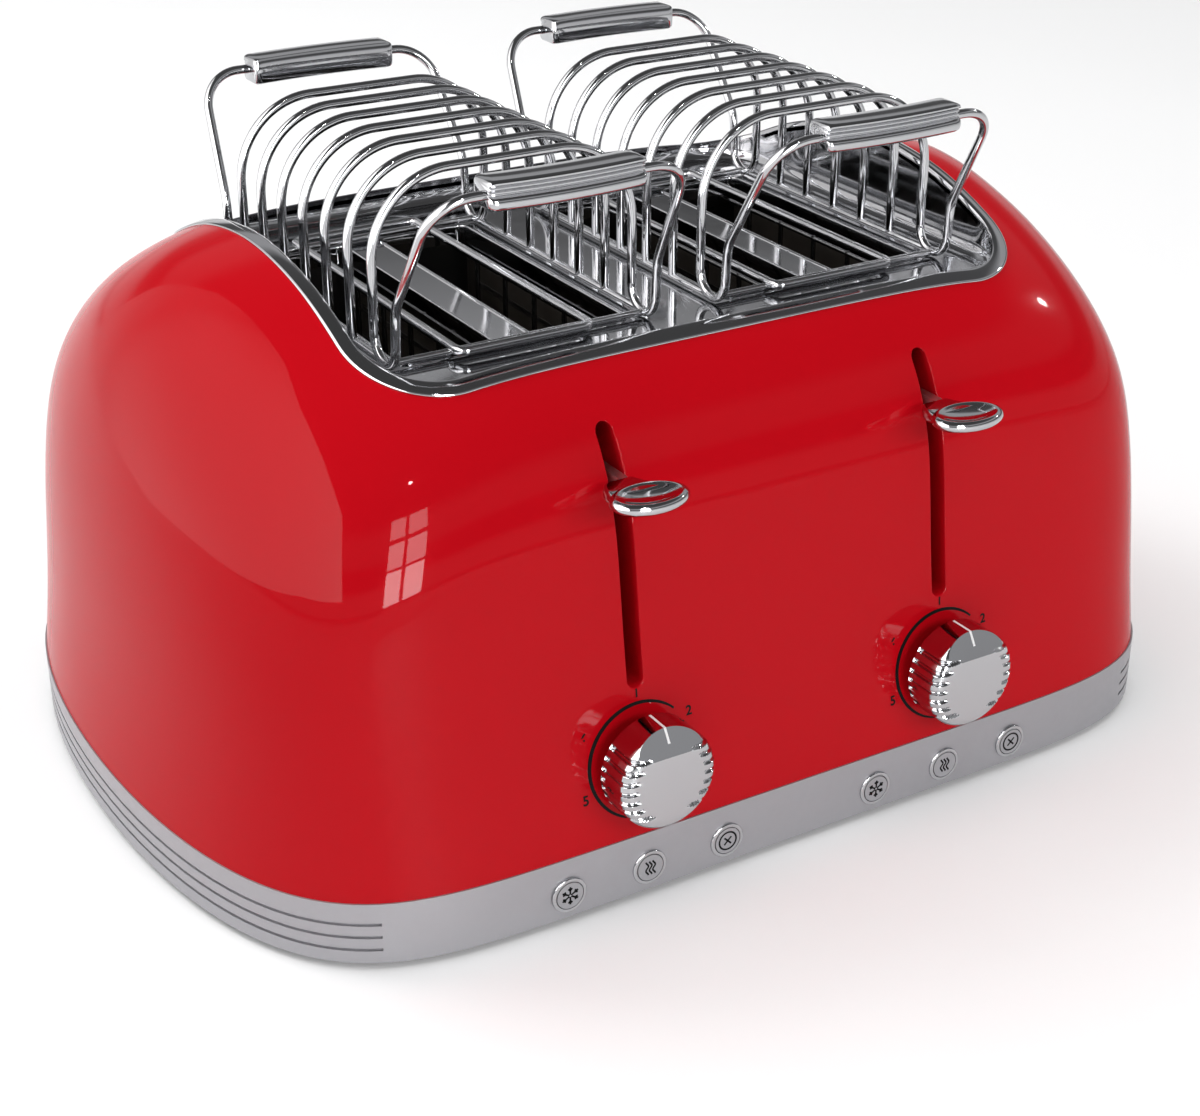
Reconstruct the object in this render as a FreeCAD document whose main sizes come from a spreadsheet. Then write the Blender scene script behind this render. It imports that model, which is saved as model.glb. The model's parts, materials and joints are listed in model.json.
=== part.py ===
import FreeCAD, Part
import math
import os

from FreeCAD import Placement, Rotation, Vector

os.makedirs("parts", exist_ok=True)
doc = FreeCAD.newDocument("four_slot_toaster")

# ---------------------------------------------------------------- driving dimensions (mm)
sheet = doc.addObject("Spreadsheet::Sheet", "dimensions")
DIMENSIONS = [
    ("base_width", 390.6),
    ("base_depth", 278.0),
    ("band_height", 21.6),
    ("band_wall", 2.0),
    ("band_power", 8.0),
    ("foot_height", 2.5),
    ("foot_radius", 9.0),
    ("shell_wall", 1.2),
    ("shell_step", 0.5),
    ("group_offset", 60.0),
    ("slot_offset", 24.0),
    ("slot_width", 33.5),
    ("slot_length", 116.0),
    ("slot_corner", 3.0),
    ("panel_top", 163.3),
    ("panel_wall", 1.5),
    ("panel_cove", 5.0),
    ("opening_width", 244.0),
    ("opening_depth", 182.0),
    ("opening_corner", 26.0),
    ("rim_width", 3.4),
    ("rim_proud", 0.9),
    ("lever_slot_width", 5.8),
    ("lever_slot_low", 72.6),
    ("lever_slot_high", 154.4),
    ("lever_rest", 139.4),
    ("lever_centre", 136.8),
    ("lever_half_width", 13.2),
    ("lever_half_depth", 8.8),
    ("lever_half_height", 3.2),
    ("lever_tilt", 10.4),
    ("knob_height", 49.5),
    ("knob_radius", 17.3),
    ("knob_back", 137.3),
    ("knob_length", 14.5),
    ("knob_shaft_radius", 3.0),
    ("button_height", 11.1),
    ("button_pitch", 29.7),
    ("button_radius", 4.7),
    ("bezel_radius", 6.2),
    ("bezel_bore", 5.0),
    ("band_hole_radius", 5.4),
    ("wire_radius", 1.55),
    ("rack_half_width", 46.5),
    ("rack_pitch", 17.0),
    ("rack_base", 165.2),
    ("arch_top", 221.6),
    ("arch_bend", 27.0),
    ("grip_reach", 88.4),
    ("grip_height", 223.2),
    ("grip_length", 53.4),
    ("grip_depth", 12.0),
    ("grip_thickness", 9.4),
    ("tray_width", 102.0),
    ("tray_height", 6.0),
    ("chamber_half_depth", 61.0),
    ("chamber_low", 27.0),
    ("chamber_high", 158.0),
]
for row, (alias, value) in enumerate(DIMENSIONS, start=1):
    sheet.set("A%d" % row, alias)
    sheet.set("B%d" % row, str(value))
    sheet.setAlias("B%d" % row, alias)
doc.recompute()


def dim(alias):
    return float(sheet.get(alias))


SIDES = (("left", -1.0), ("right", 1.0))
GROUP = dim("group_offset")
LIFT = dim("foot_height")
BAND_TOP = LIFT + dim("band_height")
HALF_W = dim("base_width") / 2.0
HALF_D = dim("base_depth") / 2.0
PANEL = dim("panel_top")
WIRE = dim("wire_radius")

# The dome: height, half width, half depth and corner power of each level. The outline at
# each level is |x / half width| ** power + |y / half depth| ** 2 = 1.
DOME = [
    (24.1, 194.8, 138.5, 8.0),
    (43.0, 191.8, 134.7, 8.8),
    (62.5, 189.4, 131.6, 9.5),
    (102.5, 185.5, 126.1, 10.0),
    (127.5, 181.5, 122.1, 9.0),
    (147.5, 176.3, 114.0, 7.0),
    (162.5, 169.8, 101.5, 5.5),
    (174.5, 160.8, 84.0, 4.6),
    (184.5, 147.5, 64.5, 3.9),
    (189.0, 134.5, 52.5, 3.6),
    (191.8, 122.0, 42.5, 3.4),
    (194.5, 105.0, 32.0, 3.2),
    (196.5, 85.0, 22.0, 3.1),
]
OUTLINE_POINTS = 64
finished = []


# ---------------------------------------------------------------- shape helpers
def lame_points(half_x, half_y, power, z):
    points = []
    for index in range(OUTLINE_POINTS):
        angle = 2.0 * math.pi * index / OUTLINE_POINTS
        c, s = abs(math.cos(angle)), abs(math.sin(angle))
        low, high = 0.5, 1.6
        for _ in range(60):
            middle = (low + high) / 2.0
            if (middle * c) ** power + (middle * s) ** 2 > 1.0:
                high = middle
            else:
                low = middle
        points.append(Vector(half_x * low * math.cos(angle), half_y * low * math.sin(angle), z))
    return points


def outline_wire(half_x, half_y, power, z):
    curve = Part.BSplineCurve()
    knots = [index / OUTLINE_POINTS for index in range(OUTLINE_POINTS + 1)]
    points = lame_points(half_x, half_y, power, z)
    curve.interpolate(Points=points, Parameters=knots, PeriodicFlag=True)
    return Part.Wire(curve.toShape())


def inset_levels(inset, low_z):
    """The dome's levels moved inward by a wall thickness, starting at low_z."""
    levels = []
    count = len(DOME)
    for index, (z, half_x, half_y, power) in enumerate(DOME):
        before = DOME[max(index - 1, 0)]
        after = DOME[min(index + 1, count - 1)]
        rise = after[0] - before[0]
        # The wall is measured across the surface: on the flat top it mostly lowers the level.
        slope_x = (before[1] - after[1]) / rise
        slope_y = (before[2] - after[2]) / rise
        move_x = inset * math.sqrt(1.0 + slope_x ** 2)
        move_y = inset * math.sqrt(1.0 + slope_y ** 2)
        levels.append((z, half_x - move_x, half_y - move_y, power))
    if inset > 0.0:
        levels = [level for level in levels if level[1] > 20.0 and level[2] > 8.0]
    first = levels[0]
    levels[0] = (low_z, first[1], first[2], first[3])
    return levels


def dome_solid(inset, low_z):
    levels = inset_levels(inset, low_z)
    wires = [outline_wire(half_x, half_y, power, z) for z, half_x, half_y, power in levels]
    return Part.makeLoft(wires, True, False)


def prism(wire, height):
    return Part.Face(wire).extrude(Vector(0, 0, height))


def rounded_rectangle(half_x, half_y, corner, z):
    corner = min(corner, half_x - 0.01, half_y - 0.01)
    edges = []
    diagonal = corner * math.sqrt(0.5)
    inner_x, inner_y = half_x - corner, half_y - corner
    quadrants = ((1, 1), (-1, 1), (-1, -1), (1, -1))
    for index, (sx, sy) in enumerate(quadrants):
        centre = Vector(sx * inner_x, sy * inner_y, z)
        along_x = centre + Vector(sx * corner, 0, 0)
        along_y = centre + Vector(0, sy * corner, 0)
        middle = centre + Vector(sx * diagonal, sy * diagonal, 0)
        ends = (along_x, along_y) if index % 2 == 0 else (along_y, along_x)
        edges.append(Part.Arc(ends[0], middle, ends[1]).toShape())
    joined = []
    for index, edge in enumerate(edges):
        joined.append(edge)
        following = edges[(index + 1) % 4]
        start = edge.valueAt(edge.LastParameter)
        end = following.valueAt(following.FirstParameter)
        joined.append(Part.LineSegment(start, end).toShape())
    return Part.Wire(joined)


def box(x0, x1, y0, y1, z0, z1):
    return Part.makeBox(x1 - x0, y1 - y0, z1 - z0, Vector(x0, y0, z0))


def rod_y(radius, x, y0, y1, z):
    return Part.makeCylinder(radius, y1 - y0, Vector(x, y0, z), Vector(0, 1, 0))


def rod_x(radius, x0, x1, y, z):
    return Part.makeCylinder(radius, x1 - x0, Vector(x0, y, z), Vector(1, 0, 0))


def bent_path(points, bend):
    """Straight runs joined by tangent arcs of one radius."""
    edges = []
    start = points[0]
    for index in range(1, len(points) - 1):
        corner = points[index]
        into = (corner - points[index - 1]).normalize()
        out = (points[index + 1] - corner).normalize()
        turn = into.getAngle(out)
        if turn < 0.01:
            continue
        trim = bend * math.tan(turn / 2.0)
        arc_start = corner - into * trim
        arc_end = corner + out * trim
        inward = (out - into).normalize()
        centre = corner + inward * (bend / math.cos(turn / 2.0))
        middle = centre - inward * bend
        if (arc_start - start).Length > 1e-4:
            edges.append(Part.LineSegment(start, arc_start).toShape())
        edges.append(Part.Arc(arc_start, middle, arc_end).toShape())
        start = arc_end
    if (points[-1] - start).Length > 1e-4:
        edges.append(Part.LineSegment(start, points[-1]).toShape())
    return Part.Wire(edges)


def tube(points, bend, radius):
    path = bent_path(points, bend)
    first = path.Edges[0]
    direction = first.tangentAt(first.FirstParameter)
    ring = Part.Wire(Part.makeCircle(radius, points[0], direction))
    return path.makePipeShell([ring], True, False)


def mirrored_x(shape):
    return shape.mirror(Vector(0, 0, 0), Vector(1, 0, 0))


def mirrored_y(shape):
    return shape.mirror(Vector(0, 0, 0), Vector(0, 1, 0))


def moved(shape, x=0.0, y=0.0, z=0.0):
    copy = shape.copy()
    copy.translate(Vector(x, y, z))
    return copy


def keep(label, shape):
    feature = doc.addObject("Part::Feature", label)
    feature.Label = label
    feature.Shape = shape
    finished.append(feature)
    return feature


def helper(label, shape):
    feature = doc.addObject("Part::Feature", label)
    feature.Shape = shape
    return feature


def origin_plane(body, role):
    return [item for item in body.Origin.OriginFeatures if item.Role == role][0]


def new_sketch(body, name, role, offset):
    sketch = body.newObject("Sketcher::SketchObject", name)
    sketch.AttachmentSupport = [(origin_plane(body, role), "")]
    sketch.MapMode = "FlatFace"
    sketch.AttachmentOffset = Placement(Vector(0, 0, offset), Rotation())
    return sketch


def add_rectangle(sketch, x0, x1, y0, y1):
    corners = [Vector(x0, y0, 0), Vector(x1, y0, 0), Vector(x1, y1, 0), Vector(x0, y1, 0)]
    for index in range(4):
        sketch.addGeometry(Part.LineSegment(corners[index], corners[(index + 1) % 4]), False)


def add_wire(sketch, wire):
    for edge in wire.Edges:
        curve = edge.Curve
        if isinstance(curve, Part.Line):
            start, end = edge.Vertexes[0].Point, edge.Vertexes[1].Point
            sketch.addGeometry(Part.LineSegment(start, end), False)
        else:
            sketch.addGeometry(
                Part.ArcOfCircle(curve, edge.FirstParameter, edge.LastParameter), False
            )


def slot_centres():
    offset = dim("slot_offset")
    return [sign * GROUP + step * offset for _, sign in SIDES for step in (-1.0, 1.0)]


# ---------------------------------------------------------------- red shell
outer_dome = dome_solid(0.0, BAND_TOP)
inner_dome = dome_solid(dim("shell_wall"), BAND_TOP - 1.0)
opening = prism(
    rounded_rectangle(
        dim("opening_width") / 2.0, dim("opening_depth") / 2.0, dim("opening_corner"), 150.0
    ),
    60.0,
)
shell = outer_dome.cut(inner_dome).cut(opening)
slot_half = dim("lever_slot_width") / 2.0
for _, sign in SIDES:
    x = sign * GROUP
    low = dim("lever_slot_low") + slot_half
    high = dim("lever_slot_high") - slot_half
    slot = box(x - slot_half, x + slot_half, -HALF_D - 10, -80.0, low, high)
    slot = slot.fuse(rod_y(slot_half, x, -HALF_D - 10, -80.0, low))
    slot = slot.fuse(rod_y(slot_half, x, -HALF_D - 10, -80.0, high))
    shaft_hole = rod_y(5.0, x, -HALF_D - 10, -110.0, dim("knob_height"))
    shell = shell.cut(slot).cut(shaft_hole)
keep("body_shell", shell)

# ---------------------------------------------------------------- silver base band
band = prism(outline_wire(HALF_W, HALF_D, dim("band_power"), LIFT), dim("band_height"))
wall = dim("band_wall")
band_inside = prism(
    outline_wire(HALF_W - wall, HALF_D - wall, dim("band_power"), LIFT - 1.0),
    dim("band_height") + 2.0,
)
band = band.cut(band_inside)
GROOVE_DEPTH = 0.9
GROOVE_WIDTH = 1.1
GROOVE_START = 150.0
groove_core = prism(
    outline_wire(HALF_W - GROOVE_DEPTH, HALF_D - GROOVE_DEPTH, dim("band_power"), 0.0), 40.0
)
sides_only = box(GROOVE_START, 230, -160, 160, 0, 40).fuse(
    box(-230, -GROOVE_START, -160, 160, 0, 40)
)
groove_region = sides_only.cut(groove_core)
for step in range(3):
    z = LIFT + 4.4 + 4.6 * step
    band = band.cut(groove_region.common(box(-230, 230, -160, 160, z, z + GROOVE_WIDTH)))
for _, sign in SIDES:
    for step in (-1, 0, 1):
        x = sign * GROUP + step * dim("button_pitch")
        band = band.cut(
            rod_y(dim("band_hole_radius"), x, -HALF_D - 2, -HALF_D + 8, dim("button_height"))
        )
    tray_half = dim("tray_width") / 2.0 + 1.0
    x = sign * GROUP
    band = band.cut(
        box(x - tray_half, x + tray_half, HALF_D - 14, HALF_D + 2, LIFT + 2.3, LIFT + 10.0)
    )
INLET_Z = LIFT + 12.5
INLET_RADIUS = 5.2
band = band.cut(rod_y(INLET_RADIUS, 0, HALF_D - 10, HALF_D + 5, INLET_Z))
keep("base_band", band)

# ---------------------------------------------------------------- bottom plate and feet
plate = doc.addObject("PartDesign::Body", "bottom_plate_body")
plate.Label = "bottom_plate"
plate_sketch = new_sketch(plate, "bottom_plate_outline", "XY_Plane", LIFT)
plate_gap = wall + 0.2
plate_sketch.addGeometry(
    outline_wire(HALF_W - plate_gap, HALF_D - plate_gap, dim("band_power"), 0.0).Edges[0].Curve,
    False,
)
plate_pad = plate.newObject("PartDesign::Pad", "bottom_plate_pad")
plate_pad.Profile = plate_sketch
plate_pad.Length = 1.8
vent_sketch = new_sketch(plate, "bottom_vents", "XY_Plane", LIFT)
for x in range(-140, 141, 20):
    if abs(x) > 115 or abs(x) < 8:
        add_rectangle(vent_sketch, x - 3.0, x + 3.0, -60.0, 60.0)
vents = plate.newObject("PartDesign::Pocket", "bottom_vent_pocket")
vents.Profile = vent_sketch
vents.Type = 1
vents.Midplane = True
finished.append(plate)

feet = []
for x in (-150.0, 150.0):
    for y in (-92.0, 92.0):
        foot = doc.addObject("Part::Cone", "foot")
        foot.setExpression("Radius2", "dimensions.foot_radius")
        foot.setExpression("Radius1", "dimensions.foot_radius - 1.2")
        foot.setExpression("Height", "dimensions.foot_height")
        foot.Placement = Placement(Vector(x, y, 0), Rotation())
        feet.append(foot)
rubber_feet = doc.addObject("Part::Compound", "rubber_feet")
rubber_feet.Links = feet
rubber_feet.Label = "rubber_feet"
finished.append(rubber_feet)

# ---------------------------------------------------------------- chrome top panel and rim
panel_body = doc.addObject("PartDesign::Body", "panel_tub")
floor_z = PANEL - dim("panel_wall")
rim_gap = 0.1
half_x = dim("opening_width") / 2.0 - rim_gap
half_y = dim("opening_depth") / 2.0 - rim_gap
corner = dim("opening_corner") - rim_gap
tub_sketch = new_sketch(panel_body, "tub_outline", "XY_Plane", floor_z)
add_wire(tub_sketch, rounded_rectangle(half_x, half_y, corner, 0.0))
tub = panel_body.newObject("PartDesign::Pad", "tub_pad")
tub.Profile = tub_sketch
tub.Length = 40.0
tub_wall = dim("panel_wall")
cavity_sketch = new_sketch(panel_body, "tub_cavity", "XY_Plane", floor_z + 40.0)
add_wire(
    cavity_sketch,
    rounded_rectangle(half_x - tub_wall, half_y - tub_wall, corner - tub_wall, 0.0),
)
cavity = panel_body.newObject("PartDesign::Pocket", "tub_pocket")
cavity.Profile = cavity_sketch
cavity.Length = 40.0 - dim("panel_wall")
doc.recompute()
cove_edges = []
for index, edge in enumerate(cavity.Shape.Edges, start=1):
    low, high = edge.BoundBox.ZMin, edge.BoundBox.ZMax
    if abs(low - PANEL) < 1e-3 and abs(high - PANEL) < 1e-3:
        cove_edges.append("Edge%d" % index)
cove = panel_body.newObject("PartDesign::Fillet", "tub_cove")
cove.Base = (cavity, cove_edges)
cove.setExpression("Radius", "dimensions.panel_cove")
bread_sketch = new_sketch(panel_body, "bread_slots", "XY_Plane", PANEL + 1.0)
for x in slot_centres():
    wire = rounded_rectangle(
        dim("slot_width") / 2.0, dim("slot_length") / 2.0, dim("slot_corner"), 0.0
    )
    add_wire(bread_sketch, moved(wire, x=x))
bread_slots = panel_body.newObject("PartDesign::Pocket", "bread_slot_pocket")
bread_slots.Profile = bread_sketch
bread_slots.Length = 4.0
doc.recompute()
panel_limit = helper("panel_limit", dome_solid(dim("shell_wall") + 0.2, BAND_TOP))
top_panel = doc.addObject("Part::Common", "top_panel")
top_panel.Base = panel_body
top_panel.Tool = panel_limit
top_panel.Label = "top_panel"
finished.append(top_panel)

rim_out = dim("rim_width")
rim_plan = prism(
    rounded_rectangle(half_x + rim_out, half_y + rim_out, corner + rim_out, 150.0), 60.0
)
rim_bore = prism(
    rounded_rectangle(half_x - tub_wall, half_y - tub_wall, corner - tub_wall, 149.0), 62.0
)
under_lip = outer_dome.cut(prism(rounded_rectangle(half_x, half_y, corner, 140.0), 80.0))
rim = dome_solid(-dim("rim_proud"), BAND_TOP).common(rim_plan.cut(rim_bore))
rim = rim.cut(panel_limit.Shape).cut(under_lip)
keep("top_rim", rim)

# ---------------------------------------------------------------- toasting chambers
CHAMBER_Y = dim("chamber_half_depth")
CHAMBER_LOW = dim("chamber_low")
CHAMBER_HIGH = dim("chamber_high")
SHEET = 1.0
CARD_OFFSET = 19.6
CARD_THICK = 0.8
GUIDE_OFFSET = 14.2
GUIDE_RADIUS = 0.9
for side, sign in SIDES:
    xc = sign * GROUP
    outer = 49.0
    plates = []
    for y in (-CHAMBER_Y, CHAMBER_Y - SHEET):
        end_plate = box(xc - outer, xc + outer, y, y + SHEET, CHAMBER_LOW, CHAMBER_HIGH)
        plates.append(end_plate)
    for step in (-1.0, 1.0):
        x = xc + step * dim("slot_offset")
        plates[0] = plates[0].cut(
            box(x - 4.0, x + 4.0, -CHAMBER_Y - 1, -CHAMBER_Y + 2, CHAMBER_LOW - 1, 124.0)
        )
    side_plates = [
        box(xc - outer, xc - outer + SHEET, -CHAMBER_Y + SHEET, CHAMBER_Y - SHEET,
            CHAMBER_LOW, CHAMBER_HIGH),
        box(xc + outer - SHEET, xc + outer, -CHAMBER_Y + SHEET, CHAMBER_Y - SHEET,
            CHAMBER_LOW, CHAMBER_HIGH),
    ]
    chamber = plates[0].fuse([plates[1], *side_plates])
    # The feet stand outside the crumb tray, on flanges bent out from the side plates.
    for step in (-1.0, 1.0):
        flange_x = sorted((xc + step * (outer - SHEET), xc + step * 56.0))
        foot_x = sorted((xc + step * 55.0, xc + step * 56.0))
        for y in (-54.0, 42.0):
            flange = box(*flange_x, y, y + 12.0, CHAMBER_LOW, CHAMBER_LOW + SHEET)
            foot = box(*foot_x, y, y + 12.0, LIFT + 1.8, CHAMBER_LOW + SHEET)
            chamber = chamber.fuse([flange, foot])
    keep(side + "_chamber", chamber.removeSplitter())

    cards = []
    ribbons = []
    guides = []
    for step in (-1.0, 1.0):
        x = xc + step * dim("slot_offset")
        for flank in (-1.0, 1.0):
            card_x = x + flank * CARD_OFFSET
            cards.append(
                box(card_x - CARD_THICK / 2.0, card_x + CARD_THICK / 2.0,
                    -CHAMBER_Y + SHEET, CHAMBER_Y - SHEET, 40.0, 152.0)
            )
            face = card_x - flank * (CARD_THICK / 2.0)
            x0, x1 = sorted((face, face - flank * 0.3))
            for line in range(9):
                z = 50.0 + 11.5 * line
                ribbons.append(box(x0, x1, -52.0, 52.0, z, z + 1.6))
            guide_x = x + flank * GUIDE_OFFSET
            for y in (-42.0, -21.0, 0.0, 21.0, 42.0):
                guides.append(
                    Part.makeCylinder(GUIDE_RADIUS, 121.0, Vector(guide_x, y, 35.0))
                )
            for z in (36.0, 155.0):
                guides.append(
                    rod_y(GUIDE_RADIUS, guide_x, -CHAMBER_Y + SHEET, CHAMBER_Y - SHEET, z)
                )
    keep(side + "_heater_cards", Part.makeCompound(cards))
    keep(side + "_heater_ribbons", Part.makeCompound(ribbons))
    fused_guides = []
    per_cage = 7
    for first in range(0, len(guides), per_cage):
        cage = guides[first]
        cage = cage.fuse(guides[first + 1:first + per_cage])
        fused_guides.append(cage)
    keep(side + "_bread_guides", Part.makeCompound(fused_guides))

# ---------------------------------------------------------------- lever and bread carriage
TILT = math.radians(dim("lever_tilt"))
SLIDE = Vector(0, -math.sin(TILT), -math.cos(TILT))
REST = dim("lever_rest")
ROD_X = 16.0
ROD_RADIUS = 2.5
BLOCK_Y0, BLOCK_Y1 = -86.0, -74.0
BLOCK_Z0, BLOCK_Z1 = 94.0, 110.0
BLOCK_POINT = Vector(0, (BLOCK_Y0 + BLOCK_Y1) / 2.0, (BLOCK_Z0 + BLOCK_Z1) / 2.0)
ARM_HALF = 1.6
NECK_END = 15.0
for side, sign in SIDES:
    xc = sign * GROUP
    paddle = Part.makeSphere(1.0)
    scale = FreeCAD.Matrix()
    scale.scale(dim("lever_half_width"), dim("lever_half_depth"), dim("lever_half_height"))
    paddle = paddle.transformGeometry(scale)
    dish = Part.makeSphere(1.0)
    scale = FreeCAD.Matrix()
    scale.scale(10.8, 6.8, 2.0)
    dish = moved(dish.transformGeometry(scale), y=-0.6, z=dim("lever_half_height"))
    paddle = paddle.cut(dish)
    neck_plan = [
        Vector(-7.0, 3.0, -2.8), Vector(-2.7, 10.5, -2.8), Vector(-2.7, NECK_END, -2.8),
        Vector(2.7, NECK_END, -2.8), Vector(2.7, 10.5, -2.8), Vector(7.0, 3.0, -2.8),
    ]
    neck = prism(Part.makePolygon(neck_plan + neck_plan[:1]), 5.2)
    pocket = box(-ARM_HALF, ARM_HALF, 6.0, 20.0, -1.8, 1.4)
    paddle = paddle.fuse(neck).cut(pocket)
    keep(side + "_lever_knob", moved(paddle, xc, -dim("lever_centre"), REST))

    arm_y0 = -dim("lever_centre") + 6.0
    arm = box(-ARM_HALF, ARM_HALF, arm_y0, -92.0, REST - 1.8, REST + 1.4)
    arm = arm.fuse(box(-ARM_HALF, ARM_HALF, -96.0, -86.0, 96.0, REST + 1.4))
    keep(side + "_lever_arm", moved(arm.removeSplitter(), x=xc))

    block = box(-8.0, 22.0, BLOCK_Y0, BLOCK_Y1, BLOCK_Z0, BLOCK_Z1)
    bore_start = BLOCK_POINT - SLIDE * 40.0 + Vector(ROD_X, 0, 0)
    bore = Part.makeCylinder(ROD_RADIUS + 0.06, 80.0, bore_start, SLIDE)
    block = block.cut(bore)
    cross = box(-27.0, 27.0, -74.0, -70.0, 96.0, 106.0)
    spring_seat = box(-20.5, -8.0, BLOCK_Y0, -66.0, 104.0, BLOCK_Z1)
    carriage = block.fuse([cross, spring_seat]).removeSplitter()
    keep(side + "_carriage", moved(carriage, x=xc))

    lifters = []
    for step in (-1.0, 1.0):
        x = step * dim("slot_offset")
        rail = box(x - 1.5, x + 1.5, -70.0, 46.0, 97.0, 104.0)
        fingers = []
        for index in range(7):
            y = -40.0 + 13.5 * index
            fingers.append(box(x - 8.0, x + 8.0, y - 1.2, y + 1.2, 102.0, 104.0))
        lifters.append(rail.fuse(fingers).removeSplitter())
    keep(side + "_bread_lifters", moved(Part.makeCompound(lifters), x=xc))

    rod_top = BLOCK_POINT - SLIDE * 50.0 + Vector(ROD_X + xc, 0, 0)
    rod_low = BLOCK_POINT + SLIDE * 92.0 + Vector(ROD_X + xc, 0, 0)
    rod = Part.makeCylinder(ROD_RADIUS, 142.0, rod_top, SLIDE)
    floor_cut = box(xc - 60, xc + 60, -160, 0, -40, LIFT + 1.8)
    rod = rod.cut(floor_cut)
    foot_pad = box(rod_low.x - 8.0, rod_low.x + 8.0, -108.0, -88.0, LIFT + 1.8, LIFT + 4.3)
    foot_pad = foot_pad.cut(Part.makeCylinder(ROD_RADIUS, 142.0, rod_top, SLIDE))
    bracket = box(xc - 21.0, rod_top.x + 6.0, -83.0, -CHAMBER_Y, 149.0, 151.0)
    bracket = bracket.cut(Part.makeCylinder(ROD_RADIUS, 142.0, rod_top, SLIDE))
    keep(side + "_guide_rod", rod.fuse([foot_pad, bracket]).removeSplitter())

    helix = Part.makeHelix(3.0, 37.0, 3.2)
    coil_ring = Part.Wire(Part.makeCircle(0.5, Vector(3.2, 0, 0), Vector(0, 1, 0)))
    spring = Part.Wire(helix).makePipeShell([coil_ring], True, True)
    keep(side + "_carriage_spring", moved(spring, xc - 16.0, -79.3, 111.0))

    magnet = box(xc - 12.0, xc + 6.0, -104.0, -88.0, LIFT + 1.8, 24.0)
    core = Part.makeCylinder(4.0, 5.0, Vector(xc - 3.0, -96.0, 24.0))
    keep(side + "_latch_magnet", magnet.fuse(core).removeSplitter())

# ---------------------------------------------------------------- browning controls
KNOB_Z = dim("knob_height")
SHAFT = dim("knob_shaft_radius")
KNOB_BACK = -dim("knob_back")
FLUTE_RADIUS = 0.95
FLUTE_PITCH = 3.4
for side, sign in SIDES:
    xc = sign * GROUP
    knob = doc.addObject("PartDesign::Body", side + "_knob_body")
    knob.Label = side + "_browning_knob"
    # Sketches on XZ face -Y, so the pad grows towards the front.
    circle = new_sketch(knob, side + "_knob_circle", "XZ_Plane", -KNOB_BACK)
    circle.addGeometry(
        Part.Circle(Vector(xc, KNOB_Z, 0), Vector(0, 0, 1), dim("knob_radius")), False
    )
    pad = knob.newObject("PartDesign::Pad", side + "_knob_pad")
    pad.Profile = circle
    pad.setExpression("Length", "dimensions.knob_length")
    doc.recompute()
    front_edge = [
        "Edge%d" % index
        for index, edge in enumerate(pad.Shape.Edges, start=1)
        if edge.BoundBox.YMax < KNOB_BACK - dim("knob_length") + 0.01
    ]
    edge_round = knob.newObject("PartDesign::Fillet", side + "_knob_edge")
    edge_round.Base = (pad, front_edge)
    edge_round.Radius = 3.2
    shaft_sketch = new_sketch(knob, side + "_knob_bore", "XZ_Plane", -KNOB_BACK)
    shaft_sketch.addGeometry(Part.Circle(Vector(xc, KNOB_Z, 0), Vector(0, 0, 1), SHAFT), False)
    bore = knob.newObject("PartDesign::Pocket", side + "_knob_bore_pocket")
    bore.Profile = shaft_sketch
    bore.Length = 10.0
    bore.Reversed = True
    flutes = new_sketch(knob, side + "_knob_flutes", "XZ_Plane", -KNOB_BACK + dim("knob_length"))
    reach = dim("knob_radius") + 0.25
    for flank in (-1.0, 1.0):
        for index in range(-3, 4):
            rise = FLUTE_PITCH * index
            centre = Vector(xc + flank * math.sqrt(reach ** 2 - rise ** 2), KNOB_Z + rise, 0)
            flutes.addGeometry(Part.Circle(centre, Vector(0, 0, 1), FLUTE_RADIUS), False)
    flute_cut = knob.newObject("PartDesign::Pocket", side + "_knob_flute_pocket")
    flute_cut.Profile = flutes
    flute_cut.Length = dim("knob_length") - 2.2
    facet_sketch = new_sketch(knob, side + "_knob_facet", "YZ_Plane", xc - 20.0)
    front = KNOB_BACK - dim("knob_length")
    top = KNOB_Z + dim("knob_radius")
    facet = [
        Vector(front - 1.0, KNOB_Z + 9.0, 0),
        Vector(front + 5.0, top + 1.0, 0),
        Vector(front - 1.0, top + 1.0, 0),
    ]
    for index in range(3):
        facet_sketch.addGeometry(Part.LineSegment(facet[index], facet[(index + 1) % 3]), False)
    facet_cut = knob.newObject("PartDesign::Pocket", side + "_knob_facet_pocket")
    facet_cut.Profile = facet_sketch
    facet_cut.Length = 40.0
    facet_cut.Reversed = True
    finished.append(knob)

    shaft = doc.addObject("Part::Cylinder", side + "_browning_shaft")
    shaft.Label = side + "_browning_shaft"
    shaft.setExpression("Radius", "dimensions.knob_shaft_radius")
    shaft.Height = 23.0
    shaft.Placement = Placement(
        Vector(xc, KNOB_BACK - 10.0, KNOB_Z), Rotation(Vector(1, 0, 0), -90)
    )
    finished.append(shaft)

    housing = Part.makeCylinder(9.5, 12.0, Vector(xc, -128.0, KNOB_Z), Vector(0, 1, 0))
    housing = housing.cut(
        Part.makeCylinder(SHAFT + 0.05, 14.0, Vector(xc, -130.0, KNOB_Z), Vector(0, 1, 0))
    )
    holder = box(xc - 13.0, xc + 13.0, -116.0, -114.4, LIFT + 1.8, KNOB_Z + 13.0)
    keep(side + "_browning_control", housing.fuse(holder).removeSplitter())

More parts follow.
